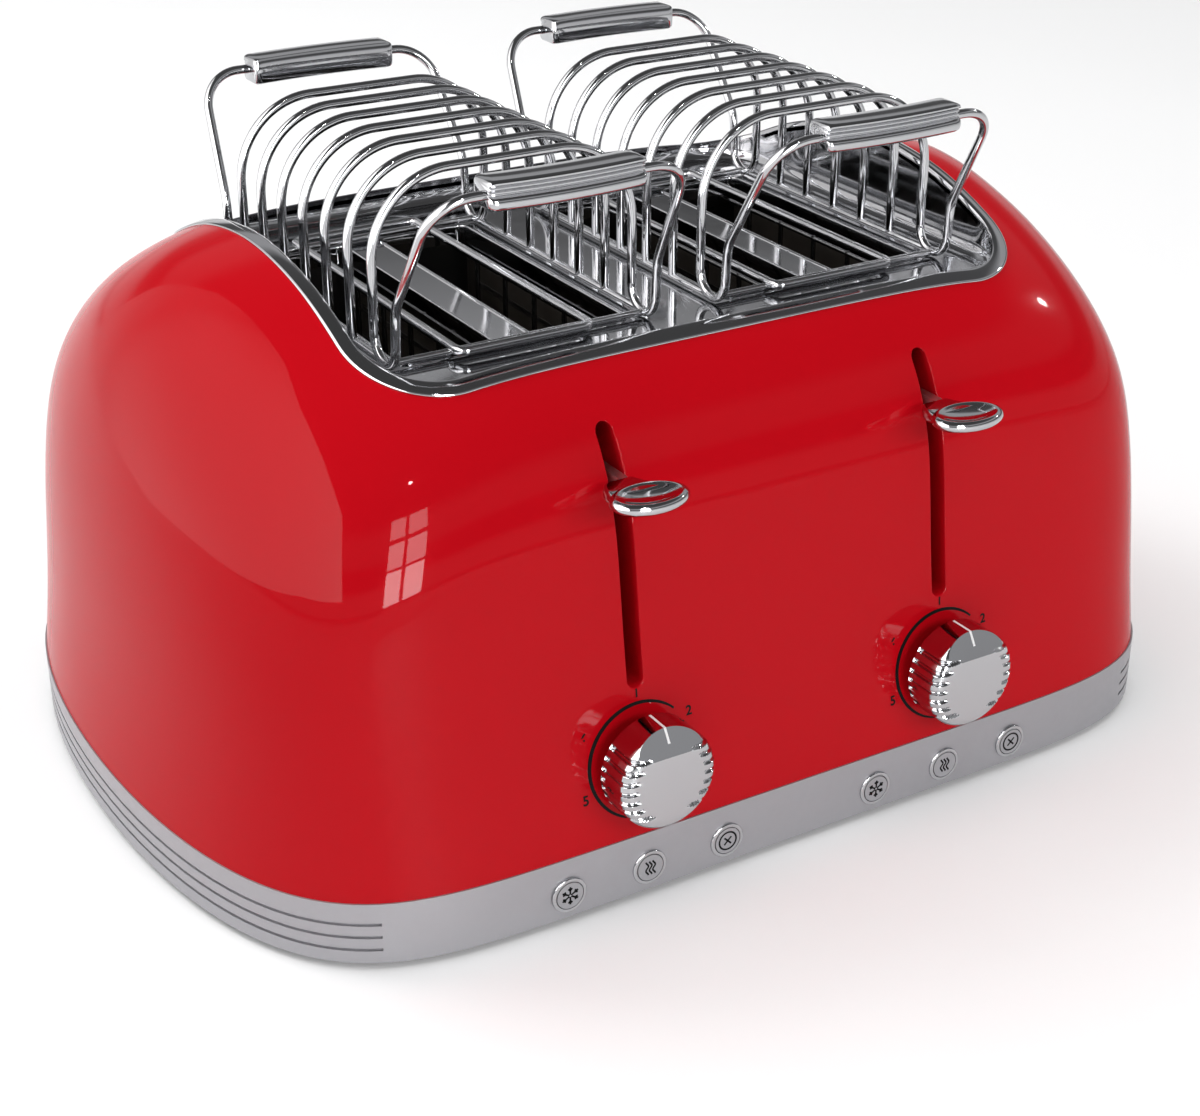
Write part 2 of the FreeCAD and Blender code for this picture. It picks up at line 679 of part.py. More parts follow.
# ---------------------------------------------------------------- push buttons
BUTTON_Z = dim("button_height")
BUTTONS = (("defrost", -1), ("reheat", 0), ("cancel", 1))
for side, sign in SIDES:
    bezels = []
    for name, step in BUTTONS:
        x = sign * GROUP + step * dim("button_pitch")
        ring = rod_y(dim("bezel_radius"), x, -HALF_D - 0.8, -HALF_D, BUTTON_Z)
        sleeve = rod_y(dim("band_hole_radius"), x, -HALF_D, -HALF_D + 3.0, BUTTON_Z)
        ring = ring.fuse(sleeve)
        ring = ring.cut(rod_y(dim("bezel_bore"), x, -HALF_D - 2, -HALF_D + 4, BUTTON_Z))
        front_edges = [
            edge for edge in ring.Edges
            if edge.BoundBox.YMax < -HALF_D - 0.7 and edge.BoundBox.XLength > 11.0
        ]
        bezels.append(ring.makeFillet(0.5, front_edges))

        cap = doc.addObject("Part::Cylinder", side + "_" + name + "_cap")
        cap.setExpression("Radius", "dimensions.button_radius")
        cap.Height = 7.4
        cap.Placement = Placement(
            Vector(x, -HALF_D - 0.9, BUTTON_Z), Rotation(Vector(1, 0, 0), -90)
        )
        collar = doc.addObject("Part::Cylinder", side + "_" + name + "_collar")
        collar.setExpression("Radius", "dimensions.button_radius + 1.4")
        collar.Height = 1.2
        collar.Placement = Placement(
            Vector(x, -HALF_D + 3.3, BUTTON_Z), Rotation(Vector(1, 0, 0), -90)
        )
        button = doc.addObject("Part::Fuse", side + "_" + name + "_button")
        button.Base = cap
        button.Tool = collar
        button.Label = side + "_" + name + "_button"
        finished.append(button)
    keep(side + "_button_bezels", Part.makeCompound(bezels))
    board_x = sign * GROUP
    board = box(board_x - 40.0, board_x + 40.0, -126.4, -124.8, LIFT + 1.8, 20.0)
    for _, step in BUTTONS:
        x = board_x + step * dim("button_pitch")
        board = board.fuse(rod_y(3.0, x, -129.6, -126.4, BUTTON_Z))
    keep(side + "_button_board", board.removeSplitter())

# ---------------------------------------------------------------- crumb trays
TRAY_FLOOR = LIFT + 2.6
TRAY_FRONT = -58.0
for side, sign in SIDES:
    xc = sign * GROUP
    tray = doc.addObject("PartDesign::Body", side + "_tray_body")
    tray.Label = side + "_crumb_tray"
    half = dim("tray_width") / 2.0
    tray_sketch = new_sketch(tray, side + "_tray_plan", "XY_Plane", TRAY_FLOOR)
    add_rectangle(tray_sketch, xc - half, xc + half, TRAY_FRONT, HALF_D + 0.6)
    tray_pad = tray.newObject("PartDesign::Pad", side + "_tray_pad")
    tray_pad.Profile = tray_sketch
    tray_pad.setExpression("Length", "dimensions.tray_height")
    well_sketch = new_sketch(tray, side + "_tray_well", "XY_Plane", TRAY_FLOOR + dim("tray_height"))
    add_rectangle(well_sketch, xc - half + 1.2, xc + half - 1.2, TRAY_FRONT + 1.2, 128.0)
    well = tray.newObject("PartDesign::Pocket", side + "_tray_well_pocket")
    well.Profile = well_sketch
    well.Length = dim("tray_height") - 1.0
    lip_sketch = new_sketch(tray, side + "_tray_lip", "XY_Plane", TRAY_FLOOR + 2.0)
    add_rectangle(lip_sketch, xc - 24.0, xc + 24.0, HALF_D + 0.4, HALF_D + 8.5)
    lip = tray.newObject("PartDesign::Pad", side + "_tray_lip_pad")
    lip.Profile = lip_sketch
    lip.Length = 2.6
    finished.append(tray)

# ---------------------------------------------------------------- cord inlet and screws
inlet = rod_y(INLET_RADIUS, 0, HALF_D - 6.0, HALF_D, INLET_Z)
inlet = inlet.fuse(rod_y(7.6, 0, HALF_D, HALF_D + 2.0, INLET_Z))
inlet = inlet.cut(rod_y(3.2, 0, HALF_D - 8.0, HALF_D + 4.0, INLET_Z))
keep("cord_inlet", inlet.removeSplitter())

screws = []
for x in (-120.0, 0.0, 120.0):
    for y in (-110.0, 105.0):
        head = Part.makeCylinder(3.4, 1.2, Vector(x, y, LIFT - 1.2))
        screws.append(head.cut(box(x - 2.4, x + 2.4, y - 0.4, y + 0.4, LIFT - 1.3, LIFT - 0.6)))
keep("base_screws", Part.makeCompound(screws))

# ---------------------------------------------------------------- lift-off bun racks
RACK_HALF = dim("rack_half_width")
RACK_BASE = dim("rack_base")
ARCH_TOP = dim("arch_top")
PITCH = dim("rack_pitch")
GRIP_Y = dim("grip_reach")
GRIP_Z = dim("grip_height")
GRIP_HALF = dim("grip_length") / 2.0
LOOP_Y = 64.0
LOOP_X = dim("slot_offset")
U_HALF = 7.5
END_Y = 3.0 * PITCH
HANDLE_Y = END_Y + 2.0 * U_HALF


def arch(y, foot_z):
    points = [
        Vector(-RACK_HALF, y, foot_z),
        Vector(-RACK_HALF, y, ARCH_TOP),
        Vector(RACK_HALF, y, ARCH_TOP),
        Vector(RACK_HALF, y, foot_z),
    ]
    return tube(points, dim("arch_bend"), WIRE)


def handle_leg():
    """One leg of the front handle: a U at the foot, then up and outward to the grip."""
    lower = tube(
        [
            Vector(RACK_HALF, -END_Y, RACK_BASE + U_HALF),
            Vector(RACK_HALF, -END_Y, RACK_BASE),
            Vector(RACK_HALF, -HANDLE_Y, RACK_BASE),
            Vector(RACK_HALF, -HANDLE_Y, RACK_BASE + U_HALF),
        ],
        U_HALF - 0.01,
        WIRE,
    )
    upper = tube(
        [
            Vector(RACK_HALF, -HANDLE_Y, RACK_BASE + U_HALF),
            Vector(RACK_HALF, -HANDLE_Y - 0.8, RACK_BASE + 20.0),
            Vector(RACK_HALF - 3.0, -GRIP_Y, GRIP_Z),
            Vector(GRIP_HALF, -GRIP_Y, GRIP_Z),
        ],
        14.0,
        WIRE,
    )
    return lower.fuse(upper).removeSplitter()


front_leg = handle_leg()
handle_legs = [front_leg, mirrored_x(front_leg)]
handle_legs += [mirrored_y(leg) for leg in handle_legs]

grip_profile = rounded_rectangle(dim("grip_depth") / 2.0, dim("grip_thickness") / 2.0, 3.2, 0.0)
grip = Part.Face(grip_profile).extrude(Vector(0, 0, 2.0 * GRIP_HALF))
grip.rotate(Vector(0, 0, 0), Vector(0, 0, 1), 90)
grip.rotate(Vector(0, 0, 0), Vector(0, 1, 0), 90)
grip = moved(grip, -GRIP_HALF, -GRIP_Y, GRIP_Z)
grips = [grip, mirrored_y(grip)]

# Rails under the arch feet, the ties between them and the closed loop above the bread slots.
rail_r = WIRE - 0.25
tie_r = rail_r - 0.1
rail_z = RACK_BASE
frame_parts = []
for sx in (-1.0, 1.0):
    frame_parts.append(
        rod_y(rail_r, sx * RACK_HALF, -END_Y + 2 * U_HALF / 3, END_Y - 2 * U_HALF / 3, rail_z)
    )
for y in (-PITCH * 2.0, PITCH * 2.0):
    frame_parts.append(rod_x(tie_r, -RACK_HALF, RACK_HALF, y, rail_z))
loop_path = rounded_rectangle(LOOP_X, LOOP_Y, 4.0, rail_z + 1.2)
loop_start = loop_path.Edges[0]
loop_ring = Part.makeCircle(
    WIRE,
    loop_start.valueAt(loop_start.FirstParameter),
    loop_start.tangentAt(loop_start.FirstParameter),
)
loop = loop_path.makePipeShell([Part.Wire(loop_ring)], True, False)
base_frame = frame_parts[0].fuse(frame_parts[1:]).fuse(loop)

GROUPS = (("front", (-3, -2)), ("middle", (-1, 0, 1)), ("back", (2, 3)))
for side, sign in SIDES:
    xc = sign * GROUP
    for group, members in GROUPS:
        arches = []
        for member in members:
            foot_z = RACK_BASE + (U_HALF if abs(member) == 3 else rail_r)
            arches.append(moved(arch(member * PITCH, foot_z), x=xc))
        keep(side + "_rack_arches_" + group, Part.makeCompound(arches))
    keep(side + "_rack_base_frame", moved(base_frame, x=xc))
    keep(
        side + "_rack_handle_legs",
        Part.makeCompound([moved(leg, x=xc) for leg in handle_legs]),
    )
    keep(side + "_rack_grips", Part.makeCompound([moved(item, x=xc) for item in grips]))

# ---------------------------------------------------------------- test and write
doc.recompute()
for item in doc.Objects:
    if "Invalid" in item.State or "Error" in item.State:
        raise RuntimeError("object failed: " + item.Name)
for item in finished:
    shape = item.Shape
    if shape.isNull() or not shape.isValid():
        raise RuntimeError("bad shape: " + item.Label)
    if not shape.Solids:
        raise RuntimeError("no solid: " + item.Label)
    item.Shape.exportStep("parts/" + item.Label + ".step")
print("wrote", len(finished), "parts")
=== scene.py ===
import json
import math

import bmesh
import bpy
import numpy as np
from mathutils import Matrix, Vector


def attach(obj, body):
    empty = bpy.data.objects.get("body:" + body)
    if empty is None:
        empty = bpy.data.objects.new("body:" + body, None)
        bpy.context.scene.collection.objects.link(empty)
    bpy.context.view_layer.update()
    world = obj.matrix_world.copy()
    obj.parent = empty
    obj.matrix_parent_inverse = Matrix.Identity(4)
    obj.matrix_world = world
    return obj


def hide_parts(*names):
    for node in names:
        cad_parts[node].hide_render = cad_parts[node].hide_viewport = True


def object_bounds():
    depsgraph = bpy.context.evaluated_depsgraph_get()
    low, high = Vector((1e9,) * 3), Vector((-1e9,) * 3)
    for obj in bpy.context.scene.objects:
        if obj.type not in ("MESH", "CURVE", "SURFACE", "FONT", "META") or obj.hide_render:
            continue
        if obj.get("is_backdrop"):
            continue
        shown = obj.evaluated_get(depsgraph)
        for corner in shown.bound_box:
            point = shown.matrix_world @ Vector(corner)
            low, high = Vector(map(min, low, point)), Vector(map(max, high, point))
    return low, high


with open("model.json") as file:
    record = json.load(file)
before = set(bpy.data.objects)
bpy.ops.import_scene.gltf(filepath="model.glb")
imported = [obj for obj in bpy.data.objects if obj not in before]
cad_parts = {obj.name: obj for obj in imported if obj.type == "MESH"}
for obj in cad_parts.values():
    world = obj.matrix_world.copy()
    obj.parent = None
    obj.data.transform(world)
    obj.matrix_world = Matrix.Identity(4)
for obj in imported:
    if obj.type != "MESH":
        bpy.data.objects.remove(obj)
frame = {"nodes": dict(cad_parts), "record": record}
cad_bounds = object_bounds()
MM = 0.001
SIDES = (("left", -60.0), ("right", 60.0))


# ------------------------------------------------------------------ materials
def new_material(name):
    material = bpy.data.materials.new(name)
    material.use_nodes = True
    return material, material.node_tree, material.node_tree.nodes["Principled BSDF"]


def set_inputs(node, values):
    """Sets the sockets of a shader node by name."""
    for socket, value in values.items():
        node.inputs[socket].default_value = value


NOISE_LOW, NOISE_HIGH = 0.3, 0.7     # nearly all of the noise lies between these values
ROUGHNESS_DETAIL, BUMP_DETAIL = 4.0, 2.0


def fine_noise(tree, scale, detail, stretch=(1.0, 1.0, 1.0)):
    """The output of a procedural noise in the object's own coordinates."""
    nodes, links = tree.nodes, tree.links
    coords = nodes.new("ShaderNodeTexCoord")
    mapping = nodes.new("ShaderNodeMapping")
    noise = nodes.new("ShaderNodeTexNoise")
    set_inputs(mapping, {"Scale": stretch})
    set_inputs(noise, {"Scale": scale, "Detail": detail})
    links.new(coords.outputs["Object"], mapping.inputs["Vector"])
    links.new(mapping.outputs["Vector"], noise.inputs["Vector"])
    return noise.outputs["Fac"]


def rough_noise(tree, shader, scale, low, high, stretch=(1.0, 1.0, 1.0)):
    """Lets the roughness wander between two values."""
    ramp = tree.nodes.new("ShaderNodeMapRange")
    set_inputs(ramp, {"From Min": NOISE_LOW, "From Max": NOISE_HIGH,
                      "To Min": low, "To Max": high})
    tree.links.new(fine_noise(tree, scale, ROUGHNESS_DETAIL, stretch), ramp.inputs["Value"])
    tree.links.new(ramp.outputs["Result"], shader.inputs["Roughness"])


def add_bump(tree, shader, socket, scale, strength, distance):
    """Tilts one of the shader's normals with fine noise."""
    bump = tree.nodes.new("ShaderNodeBump")
    set_inputs(bump, {"Strength": strength, "Distance": distance})
    tree.links.new(fine_noise(tree, scale, BUMP_DETAIL), bump.inputs["Height"])
    tree.links.new(bump.outputs["Normal"], shader.inputs[socket])


def simple(name, colour, metallic, rough_low, rough_high, scale=60.0, stretch=(1, 1, 1)):
    material, tree, shader = new_material(name)
    set_inputs(shader, {"Base Color": (*colour, 1.0), "Metallic": metallic})
    rough_noise(tree, shader, scale, rough_low, rough_high, stretch)
    return material


def enamel():
    """Deep red paint under a clear coat that mirrors the room faintly."""
    material, tree, shader = new_material("red_enamel")
    set_inputs(shader, {"Base Color": (0.47, 0.0025, 0.0075, 1.0), "Metallic": 0.0,
                        "Specular IOR Level": 0.02, "Specular Tint": (1.0, 0.25, 0.28, 1.0),
                        "Coat Weight": 0.20, "Coat IOR": 1.5, "Coat Roughness": 0.02})
    rough_noise(tree, shader, 40.0, 0.16, 0.22)
    add_bump(tree, shader, "Coat Normal", 90.0, 0.03, 0.0004)
    return material


def satin():
    """Silver-grey lacquer with a very fine grain."""
    material, tree, shader = new_material("satin_band")
    set_inputs(shader, {"Base Color": (0.37, 0.365, 0.385, 1.0), "Metallic": 0.65})
    rough_noise(tree, shader, 300.0, 0.36, 0.46)
    add_bump(tree, shader, "Normal", 2500.0, 0.05, 0.00005)
    return material


MATERIALS = {
    "red_enamel": enamel(),
    "satin_band": satin(),
    "dark_plate": simple("dark_plate", (0.10, 0.10, 0.105), 0.6, 0.40, 0.55),
    "foot_rubber": simple("foot_rubber", (0.025, 0.025, 0.025), 0.0, 0.75, 0.9, 200.0),
    "bright_chrome": simple("bright_chrome", (0.50, 0.505, 0.52), 1.0, 0.05, 0.10, 80.0),
    "chrome_wire": simple("chrome_wire", (0.52, 0.525, 0.54), 1.0, 0.07, 0.13, 120.0),
    "black_plastic": simple("black_plastic", (0.02, 0.02, 0.022), 0.0, 0.45, 0.6, 200.0),
    "zinc_screw": simple("zinc_screw", (0.55, 0.55, 0.56), 1.0, 0.28, 0.40, 150.0),
    # Painted shade: the chamber steel is far darker than bare steel, so that the inside of the
    # bread slots reads black, as it does in deep shade
    "chamber_steel": simple("chamber_steel", (0.045, 0.043, 0.042), 1.0, 0.25, 0.40, 30.0),
    # Painted shade: the heater cards are darkened to near black for the same shade inside the
    # slots
    "heater_card": simple("heater_card", (0.022, 0.018, 0.014), 0.0, 0.45, 0.6, 90.0),
    "heater_ribbon": simple("heater_ribbon", (0.16, 0.15, 0.145), 1.0, 0.30, 0.45, 90.0),
    # Painted shade: the guide wires are darker than bare wire, for the shade inside the slots
    "guide_wire": simple("guide_wire", (0.26, 0.26, 0.265), 1.0, 0.16, 0.26, 120.0),
    "magnet_coil": simple("magnet_coil", (0.40, 0.20, 0.09), 0.8, 0.35, 0.5, 90.0),
    "circuit_board": simple("circuit_board", (0.04, 0.15, 0.06), 0.0, 0.4, 0.55, 60.0),
    "satin_button": simple("satin_button", (0.40, 0.40, 0.42), 0.75, 0.28, 0.36, 250.0),
    "satin_tray": simple("satin_tray", (0.60, 0.60, 0.61), 1.0, 0.32, 0.42, 20.0, (1, 12, 1)),
}
MARK = simple("black_print", (0.004, 0.004, 0.004), 0.0, 0.45, 0.6, 300.0)
set_inputs(MARK.node_tree.nodes["Principled BSDF"], {"Specular IOR Level": 0.1})
PAINT = simple("white_paint", (0.80, 0.80, 0.80), 0.0, 0.35, 0.45, 300.0)


# ------------------------------------------------------------------ mesh helpers
def smooth_by_angle(mesh, degrees):
    mesh.polygons.foreach_set("use_smooth", [True] * len(mesh.polygons))
    mesh.set_sharp_from_angle(angle=math.radians(degrees))


def face_outwards(mesh):
    """Turns the faces so that their normals point out of the solid."""
    bm = bmesh.new()
    bm.from_mesh(mesh)
    bmesh.ops.recalc_face_normals(bm, faces=bm.faces)
    bm.to_mesh(mesh)
    bm.free()


def evaluated_mesh(obj):
    """A new mesh of the object with its modifiers or its text applied."""
    bpy.context.view_layer.update()
    graph = bpy.context.evaluated_depsgraph_get()
    return bpy.data.meshes.new_from_object(obj.evaluated_get(graph))


def place(obj, material, body, stands_for=()):
    """Gives a piece its material and body, and hides the CAD nodes that it replaces."""
    obj.data.materials.clear()
    obj.data.materials.append(material)
    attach(obj, body)
    if stands_for:
        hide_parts(*stands_for)
    return obj


def build(name, vertices, faces, degrees=35.0):
    """A mesh object from points in millimetres."""
    mesh = bpy.data.meshes.new(name)
    mesh.from_pydata([tuple(v * MM for v in p) for p in vertices], [], faces)
    mesh.validate()
    smooth_by_angle(mesh, degrees)
    obj = bpy.data.objects.new(name, mesh)
    bpy.context.scene.collection.objects.link(obj)
    return obj


class Shape:
    """Collects points and faces of one piece."""

    def __init__(self):
        self.points = []
        self.faces = []

    def grid(self, rows, wrap=True, close_rows=False):
        """Joins rows of equally many points by quads; returns the first point's index."""
        base = len(self.points)
        count = len(rows[0])
        for row in rows:
            self.points.extend(tuple(p) for p in row)
        total = len(rows)
        last = total if close_rows else total - 1
        for r in range(last):
            r2 = (r + 1) % total
            for c in range(count if wrap else count - 1):
                c2 = (c + 1) % count
                self.faces.append(
                    (base + r * count + c, base + r * count + c2,
                     base + r2 * count + c2, base + r2 * count + c)
                )
        return base

    def cap(self, first, count, flip=False):
        face = list(range(first, first + count))
        self.faces.append(tuple(reversed(face)) if flip else tuple(face))

    def tube(self, rows):
        """Rows joined by quads, with a cap on both ends."""
        count = len(rows[0])
        base = self.grid(rows)
        self.cap(base, count, flip=True)
        self.cap(base + (len(rows) - 1) * count, count)

    def add(self, other, matrix=None):
        """Takes in another shape, moved or mirrored by a matrix."""
        base = len(self.points)
        for p in other.points:
            self.points.append(tuple(matrix @ Vector(p)) if matrix else p)
        flip = matrix is not None and matrix.determinant() < 0
        for face in other.faces:
            moved = tuple(base + i for i in face)
            self.faces.append(tuple(reversed(moved)) if flip else moved)

    def finish(self, name, material, body, stands_for=(), degrees=35.0):
        obj = build(name, self.points, self.faces, degrees)
        face_outwards(obj.data)
        smooth_by_angle(obj.data, degrees)
        return place(obj, material, body, stands_for)


def shift(x):
    return Matrix.Translation((x, 0.0, 0.0))


FLIP_X = Matrix.Diagonal((-1, 1, 1, 1))
FLIP_Y = Matrix.Diagonal((1, -1, 1, 1))


def bend_points(points, radius, step):
    """Straight runs joined by arcs of one radius, sampled every step degrees."""
    points = [Vector(p) for p in points]
    path = [points[0]]
    for i in range(1, len(points) - 1):
        corner = points[i]
        into = (corner - points[i - 1]).normalized()
        out = (points[i + 1] - corner).normalized()
        turn = into.angle(out)
        if turn < 0.01:
            path.append(corner)
            continue
        trim = radius * math.tan(turn / 2.0)
        inward = (out - into).normalized()
        centre = corner + inward * (radius / math.cos(turn / 2.0))
        start = corner - into * trim - centre
        axis = into.cross(out).normalized()
        count = max(3, int(math.degrees(turn) / step))
        for k in range(count + 1):
            path.append(centre + Matrix.Rotation(turn * k / count, 3, axis) @ start)
    path.append(points[-1])
    cleaned = [path[0]]
    for p in path[1:]:
        if (p - cleaned[-1]).length > 1e-3:
            cleaned.append(p)
    return cleaned


WIRE_SIDES = 20
TIP_LENGTH = 0.6     # how far a wire's rounded end stands out, in radii
TIP_DEGREES = (80.0, 50.0, 20.0)


def wire(path, radius, closed=False):
    """A round wire along a sampled path, with rounded ends when it is open."""
    shape = Shape()
    count = len(path)
    tangents = []
    for i in range(count):
        if closed:
            a, b = path[i - 1], path[(i + 1) % count]
        else:
            a, b = path[max(i - 1, 0)], path[min(i + 1, count - 1)]
        tangents.append((b - a).normalized())
    side = tangents[0].orthogonal().normalized()
    rows = []

    def ring(centre, tangent, side, r):
        other = tangent.cross(side)
        return [
            centre + side * (r * math.cos(2 * math.pi * k / WIRE_SIDES))
            + other * (r * math.sin(2 * math.pi * k / WIRE_SIDES))
            for k in range(WIRE_SIDES)
        ]

    def tip(end, tangent, side, direction, degrees):
        for angle in map(math.radians, degrees):
            beyond = tangent * (direction * radius * TIP_LENGTH * math.sin(angle))
            rows.append(ring(end + beyond, tangent, side, radius * math.cos(angle)))

    for i, tangent in enumerate(tangents):
        side = (side - tangent * side.dot(tangent)).normalized()
        if i == 0 and not closed:
            tip(path[0], tangent, side, -1.0, TIP_DEGREES)
        rows.append(ring(path[i], tangent, side, radius))
        if i == count - 1 and not closed:
            tip(path[-1], tangent, side, 1.0, TIP_DEGREES[::-1])
    if closed:
        shape.grid(rows, close_rows=True)
    else:
        shape.tube(rows)
    return shape


def rounded_outline(half_x, half_y, corner, step, arc_step):
    """Points round a rounded rectangle, anticlockwise, with their outward normals.

    step is the distance between points on the straight sides, arc_step the degrees
    between points in the corners.
    """
    points = []
    corners = ((1, 1, 0.0), (-1, 1, 90.0), (-1, -1, 180.0), (1, -1, 270.0))
    arc = max(3, int(90.0 / arc_step))
    for index, (sx, sy, start) in enumerate(corners):
        cx, cy = sx * (half_x - corner), sy * (half_y - corner)
        for k in range(arc + 1):
            a = math.radians(start + 90.0 * k / arc)
            points.append((cx + corner * math.cos(a), cy + corner * math.sin(a),
                           math.cos(a), math.sin(a)))
        nx, ny, begin = corners[(index + 1) % 4]
        ex, ey = nx * (half_x - corner), ny * (half_y - corner)
        a = math.radians(begin)
        end = (ex + corner * math.cos(a), ey + corner * math.sin(a))
        last = points[-1]
        run = math.hypot(end[0] - last[0], end[1] - last[1])
        count = int(run / step)
        for k in range(1, count):
            f = k / count
            points.append((last[0] + (end[0] - last[0]) * f, last[1] + (end[1] - last[1]) * f,
                           last[2], last[3]))
    return points


# ------------------------------------------------------------------ the dome's surface
# The shell's cross sections: height, half length, half depth, and the exponent that
# squares off the ends: |x / half length| ** exponent + (y / half depth) ** 2 = 1.
LEVELS = np.array([
    (24.1, 194.8, 138.5, 8.0), (43.0, 191.8, 134.7, 8.8), (62.5, 189.4, 131.6, 9.5),
    (102.5, 185.5, 126.1, 10.0), (127.5, 181.5, 122.1, 9.0), (147.5, 176.3, 114.0, 7.0),
    (162.5, 169.8, 101.5, 5.5), (174.5, 160.8, 84.0, 4.6), (184.5, 147.5, 64.5, 3.9),
    (189.0, 134.5, 52.5, 3.6), (191.8, 122.0, 42.5, 3.4), (194.5, 105.0, 32.0, 3.2),
    (196.5, 85.0, 22.0, 3.1),
])


def spline(knots, values, at):
    """Natural cubic spline through the values."""
    n = len(knots)
    h = np.diff(knots)
    matrix = np.zeros((n, n))
    right = np.zeros((n, values.shape[1]))
    matrix[0, 0] = matrix[-1, -1] = 1.0
    for i in range(1, n - 1):
        matrix[i, i - 1:i + 2] = h[i - 1], 2 * (h[i - 1] + h[i]), h[i]
        right[i] = 6 * ((values[i + 1] - values[i]) / h[i]
                        - (values[i] - values[i - 1]) / h[i - 1])
    second = np.linalg.solve(matrix, right)
    i = np.clip(np.searchsorted(knots, at) - 1, 0, n - 2)
    hi = h[i][:, None]
    a = ((knots[i + 1] - at)[:, None]) / hi
    b = 1.0 - a
    return (a * values[i] + b * values[i + 1]
            + ((a ** 3 - a) * second[i] + (b ** 3 - b) * second[i + 1]) * hi ** 2 / 6)


STRIDES = np.linalg.norm(np.diff(LEVELS[:, :3], axis=0), axis=1)
CHORD = np.concatenate([[0.0], np.cumsum(STRIDES)])
FINE_T = np.linspace(0.0, CHORD[-1], 4001)
FINE = spline(CHORD, LEVELS, FINE_T)
SLOPE = np.gradient(FINE[:, 1:], axis=0) / np.gradient(FINE[:, 0])[:, None]
HALVINGS = 40     # of the range in which a point of the dome is sought


def level_at_t(t):
    """Height, half length, half depth and exponent at a distance up the profile."""
    return [np.interp(t, FINE_T, FINE[:, k]) for k in range(4)]


def level_at_z(z):
    """Half length, half depth and exponent at a height."""
    return [np.interp(z, FINE[:, 0], FINE[:, k]) for k in (1, 2, 3)]


def dome_normal(x, y, z):
    """The outward normal, from the slopes of the dome's formula."""
    a, b, n = level_at_z(z)
    da, db, dn = [np.interp(z, FINE[:, 0], SLOPE[:, k]) for k in range(3)]
    q = np.clip(np.abs(x / a), 1e-9, None)
    fx = n * q ** (n - 1) * np.sign(x) / a
    fy = 2 * y / b ** 2
    fz = q ** n * (np.log(q) * dn - n * da / a) - 2 * y ** 2 * db / b ** 3
    vector = np.stack([fx, fy, fz], axis=-1)
    return vector / np.linalg.norm(vector, axis=-1, keepdims=True)


def dome_height(x, y):
    """The dome's height above a point of the plan, by halving."""
    low = np.full(np.shape(x), LEVELS[0, 0])
    high = np.full(np.shape(x), LEVELS[-1, 0])
    for _ in range(HALVINGS):
        z = (low + high) / 2
        a, b, n = level_at_z(z)
        outside = np.abs(x / a) ** n + (y / b) ** 2 > 1.0
        high = np.where(outside, z, high)
        low = np.where(outside, low, z)
    return (low + high) / 2


def front_y(x, z):
    """The shell's front face."""
    a, b, n = level_at_z(z)
    return -b * np.sqrt(np.clip(1.0 - np.abs(x / a) ** n, 0.0, None))


def dome_point(angle, t):
    """The dome's point in a direction seen from above, at a distance up the profile."""
    z, a, b, n = level_at_t(t)
    c, s = np.cos(angle), np.sin(angle)
    low, high = np.full(np.shape(z), 0.5), np.full(np.shape(z), 1.6)
    for _ in range(HALVINGS):
        r = (low + high) / 2
        over = np.abs(r * c) ** n + (r * s) ** 2 > 1.0
        high = np.where(over, r, high)
        low = np.where(over, low, r)
    return a * low * c, b * low * s, z


OPEN_X, OPEN_Y, OPEN_R = 122.0, 91.0, 26.0     # the opening in the top
SLOT_LOW, SLOT_HIGH, SLOT_HALF = 72.6, 154.4, 2.9     # the lever slots
KNOB_Z, SHAFT_HOLE_R = 49.5, 5.0
EDGE = 0.4     # the rolled edge round a lever slot
SHELL_THICK = 1.2
CUT_FRONT, CUT_BACK = -150.0, -90.0
STADIUM_STEP = 2.0


def stadium(centre_x, half, low, high, count=72):
    """Points round an upright slot, as (x, z)."""
    points = []
    for k in range(count):
        a = 2 * math.pi * (k + 0.5) / count
        z = (high - half if math.sin(a) > 0 else low + half) + half * math.sin(a)
        points.append((centre_x + half * math.cos(a), z))
    outline = []
    for (x0, z0), (x1, z1) in zip(points, points[1:] + points[:1]):
        outline.append((x0, z0))
        parts = int(math.hypot(x1 - x0, z1 - z0) / STADIUM_STEP)
        for j in range(1, parts):
            f = j / parts
            outline.append((x0 + (x1 - x0) * f, z0 + (z1 - z0) * f))
    return outline


def outside_opening(x, y):
    """Distance from the edge of the opening in the top, negative inside it."""
    qx, qy = np.abs(x) - OPEN_X + OPEN_R, np.abs(y) - OPEN_Y + OPEN_R
    return (np.hypot(np.maximum(qx, 0), np.maximum(qy, 0))
            + np.minimum(np.maximum(qx, qy), 0) - OPEN_R)


def cut_front(obj, outline):
    """Cuts an outline, given as (x, z), through the front of a mesh."""
    shape = Shape()
    shape.tube([[(x, y, z) for x, z in outline] for y in (CUT_FRONT, CUT_BACK)])
    tool = build("cutter", shape.points, shape.faces)
    face_outwards(tool.data)
    modifier = obj.modifiers.new("cut", "BOOLEAN")
    modifier.operation = "DIFFERENCE"
    modifier.solver = "EXACT"
    modifier.object = tool
    cut = evaluated_mesh(obj)
    obj.modifiers.clear()
    obj.data = cut
    bpy.data.objects.remove(tool)


